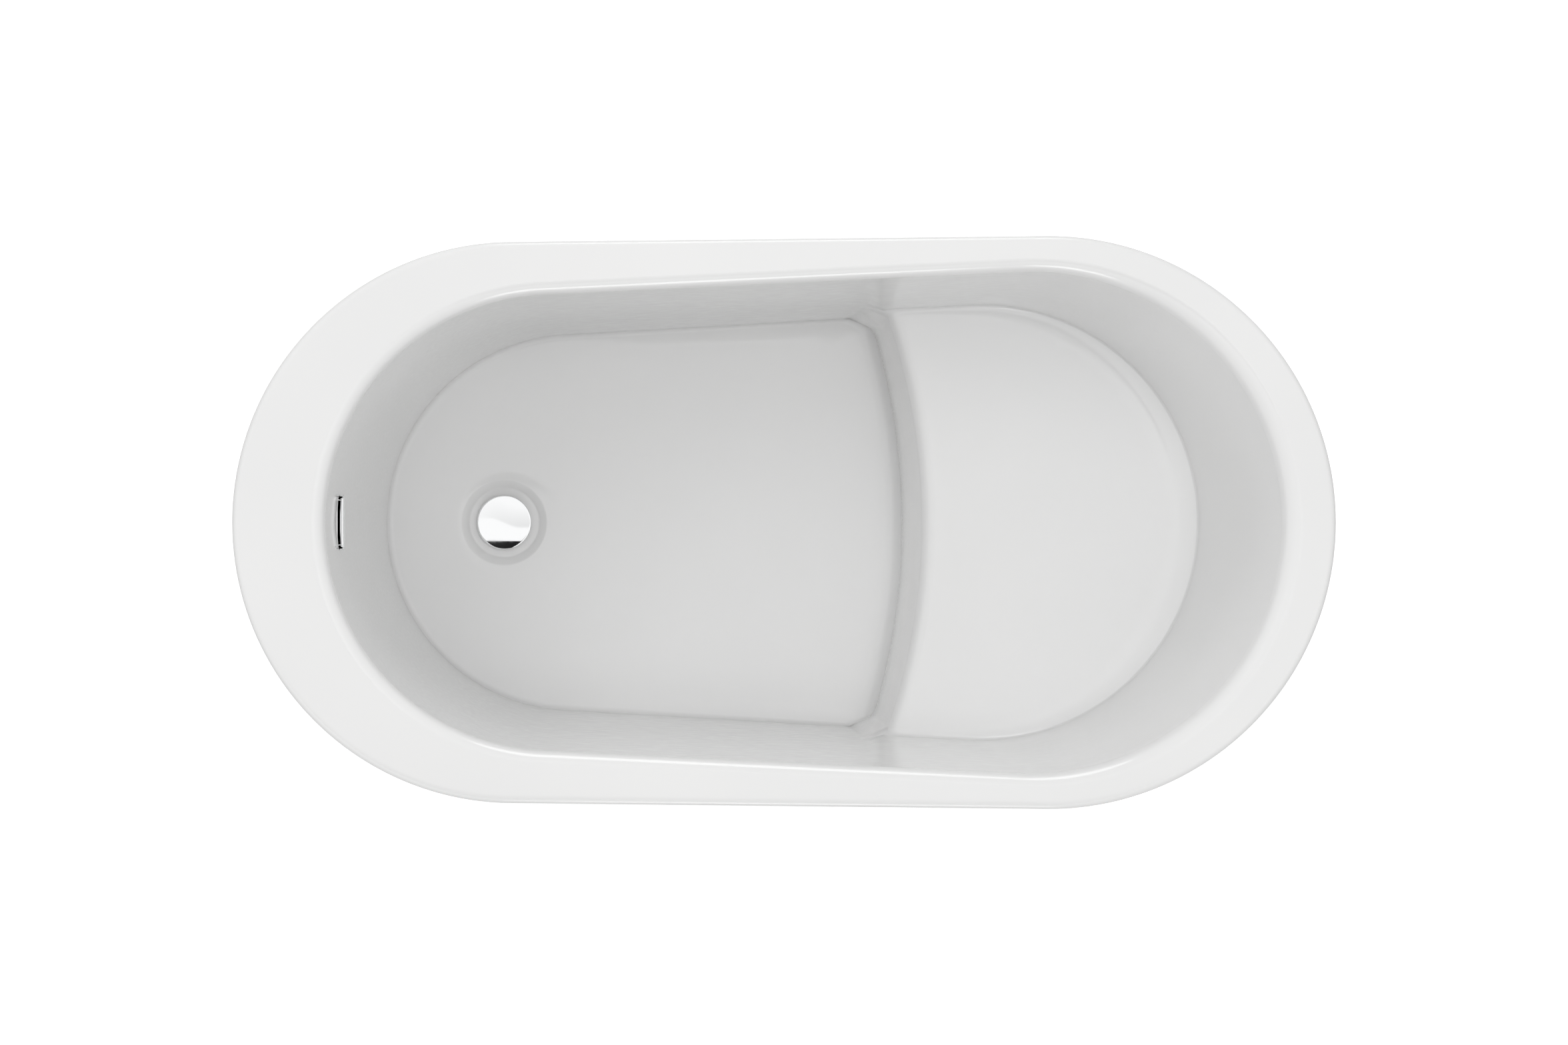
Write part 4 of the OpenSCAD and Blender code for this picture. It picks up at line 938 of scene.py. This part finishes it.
def thread_tree(material):
    """Levelling stud: threaded rod with a six-sided collar near its foot."""
    g = Grower("threaded_stud", ["Crest Radius", "Root Radius", "Pitch", "Length", "Collar Radius",
                                 "Collar Height", "Collar Up"])
    length, root, collar_h = g.size("Length"), g.size("Root Radius"), g.size("Collar Height")
    core = g.lift(g.post(40, root, length), g.times(length, 0.5))
    tooth = g.math("SUBTRACT", g.size("Crest Radius"), root)
    run = g.math("SUBTRACT", length, g.times(tooth, 2.4))
    ridge = g.thread(root, tooth, run, g.size("Pitch"), steps=32, corners=4, upright=True)
    ridge = g.lift(ridge, g.times(tooth, 1.2))
    collar = g.lift(g.post(6, g.size("Collar Radius"), collar_h),
                    g.math("ADD", g.size("Collar Up"), g.times(collar_h, 0.5)))
    at = g.add("GeometryNodeMeshToPoints", {"Mesh": g.guide()})
    stud = g.join(core, ridge, collar)
    g.close(g.add("GeometryNodeInstanceOnPoints", {"Points": at, "Instance": stud}), material)
    return g


def screw_tree(material):
    """Wood screws on marked points, each along its own way: pan head with a six-sided
    socket, shank with a coarse thread."""
    g = Grower("wood_screws", ["Head Radius", "Head Height", "Shank Radius", "Reach", "Pitch"])
    head_r, head_h, reach = g.size("Head Radius"), g.size("Head Height"), g.size("Reach")
    flat_share, dome_share = 0.55, 0.45
    flat = g.lift(g.post(32, head_r, g.times(head_h, flat_share)), g.times(head_h, -flat_share / 2))
    dome = g.add("GeometryNodeMeshCone", {"Vertices": 32, "Radius Top": g.times(head_r, 0.72),
                                          "Radius Bottom": head_r, "Depth": g.times(head_h, dome_share)})
    dome = g.lift(dome, g.times(head_h, -flat_share), Rotation=(math.pi, 0.0, 0.0))
    socket = g.lift(g.post(6, g.times(head_r, 0.42), head_h), g.times(head_h, -1.1))
    head = g.add("GeometryNodeMeshBoolean", {"Mesh 1": g.join(flat, dome), "Mesh 2": socket},
                 operation="DIFFERENCE")
    root = g.times(g.size("Shank Radius"), 0.78)
    tooth = g.math("SUBTRACT", g.size("Shank Radius"), root)
    shank = g.lift(g.post(20, root, reach), g.times(reach, 0.5))
    ridge = g.thread(root, tooth, g.times(reach, 0.9), g.size("Pitch"), steps=20, corners=3)
    ridge = g.lift(ridge, g.times(reach, 0.05))
    way = g.add("GeometryNodeInputNamedAttribute", {"Name": "way"}, data_type="FLOAT_VECTOR")
    aim = g.add("FunctionNodeAlignRotationToVector", {"Vector": way}, axis="Z")
    at = g.add("GeometryNodeMeshToPoints", {"Mesh": g.guide()})
    screws = g.add("GeometryNodeInstanceOnPoints",
                   {"Points": at, "Instance": g.join(head, shank, ridge), "Rotation": aim})
    g.close(screws, material)
    return g


# ------------------------------------------------------------------ putting the tub together
FINISHES = {
    "acrylic": polished_acrylic(),
    "board": particle_board(),
    "frame_steel": powder_coat(),
    "zinc_steel": bright_zinc(),
    "chrome": polished_chrome(),
    "black_rubber": black_rubber(),
    "grey_foam": grey_foam(),
    "pipe_plastic": moulded_plastic("white_pipe_plastic", (0.80, 0.80, 0.79), (0.76, 0.76, 0.75), 0.42),
    "hose_plastic": moulded_plastic("grey_hose_plastic", (0.40, 0.41, 0.42), (0.35, 0.36, 0.37), 0.5),
}


def dress_solids():
    """Gives every solid the finish that the record names for it."""
    for part in frame["record"]["subparts"]:
        solid = frame["nodes"][part["node"]]
        solid.data.materials.clear()
        solid.data.materials.append(FINISHES[part["material_slot"]])


def fit(piece, body, slot, *nodes):
    """Piece rides on a body and stands for these solids. The slot is not used."""
    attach(piece, body)
    if nodes:
        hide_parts(*nodes)
    return piece


def basin(material):
    """The moulding, with the overflow's hole cut through the drain end's wall."""
    play, through = 0.4, 20.0
    shell = basin_shell(material)
    hole = slot_prism("hole", [(x, OVERFLOW_L + play, OVERFLOW_H + play)
                               for x in (-through, through)], material)
    return smooth_faces(carve(shell, hole), 50.0)


def fit_studs(material):
    """Threaded studs of the four feet, each with its collar on the foot's pad."""
    studs = thread_tree(material)
    for corner in ("drain_left", "drain_right", "seat_left", "seat_right"):
        low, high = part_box("foot_stud_" + corner)
        foot = ((low[0] + high[0]) / 2 / MM, (low[1] + high[1]) / 2 / MM, low[2] / MM)
        rod = studs.grow("threaded_stud_" + corner, guide_mesh("stud_foot", [foot], [UP]),
                         {"Crest Radius": 0.006, "Root Radius": 0.0051, "Pitch": 0.00175,
                          "Length": high[2] - low[2], "Collar Radius": 0.01108, "Collar Height": 0.006,
                          "Collar Up": PAD_H * MM - low[2]})
        fit(rod, "stud_" + corner, "zinc_steel", "foot_stud_" + corner)


def fit_screws(material):
    """Wood screws of both boards, and the screws that hold the skirt's brackets."""
    screws = screw_tree(material)
    sides = (RAIL_Y, -RAIL_Y)
    rail_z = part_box("rail_left")[0][2] / MM
    plate_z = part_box("seat_board")[0][2] / MM - PLATE_T
    base_x = (BASE_BOARD_END_X - BASE_SCREW_INSET, wall_outline(WELL_DEPTH)[0] - BASE_SCREW_LEAD)
    bracket_y, bracket_z = RAIL_Y + RAIL_SIZE / 2 + BRACKET_T, rail_z + RAIL_SIZE / 2 + RAIL_SIZE / 4
    for name, solids, marks, ways, reach in (
            ("base_board_screws", "base_screws",
             [(x, y, rail_z) for x in base_x for y in sides], [UP] * 4, 0.038),
            ("seat_board_screws", "seat_screws",
             [(x, y + s * PLATE_SCREW_Y, plate_z) for x in POST_X for y in sides for s in (-1, 1)],
             [UP] * 8, 0.012),
            ("skirt_bracket_screws", "bracket_screws",
             [(x, s * bracket_y, bracket_z) for x in BRACKET_X for s in (1, -1)],
             [(0.0, -1.0, 0.0), (0.0, 1.0, 0.0)] * 2, 0.004)):
        made = screws.grow(name, guide_mesh(name, marks, ways),
                           {"Head Radius": 0.005, "Head Height": 0.003, "Shank Radius": 0.0025,
                            "Reach": reach, "Pitch": 0.0018})
        fit(made, "tub", "zinc_steel", solids)


bpy.context.scene.view_settings.view_transform = "Standard"
overhead_camera()
soft_lamp("key_lamp", (-2.1, 1.8, 4.2), (0.0, 0.0, 0.35), size=2.0, power=32.0, mirrored=False)
soft_lamp("ceiling_lamp", (0.9, -0.2, 7.0), (0.0, 0.0, 0.35), size=3.0, power=108.0, mirrored=False)
soft_lamp("upper_side_lamp", (0.0, 3.6, 2.1), (0.0, 0.0, 0.5), size=1.8, power=22.0)
soft_lamp("lower_side_lamp", (0.0, -3.6, 2.1), (0.0, 0.0, 0.5), size=1.3, power=14.0)
room_light()
room_floor()
dress_solids()
fit(basin(FINISHES["acrylic"]), "tub", "acrylic", "basin")
fit(outer_skirt(FINISHES["acrylic"]), "tub", "acrylic", "skirt")
fit(overflow_cover(FINISHES["chrome"]), "tub", "chrome", "overflow_trim")
fit(plug_top(FINISHES["chrome"]), "plug", "chrome", "plug_cap")
fit(overflow_pipe(FINISHES["hose_plastic"]), "tub", "hose_plastic", "overflow_hose")
fit_studs(FINISHES["zinc_steel"])
fit_screws(FINISHES["zinc_steel"])
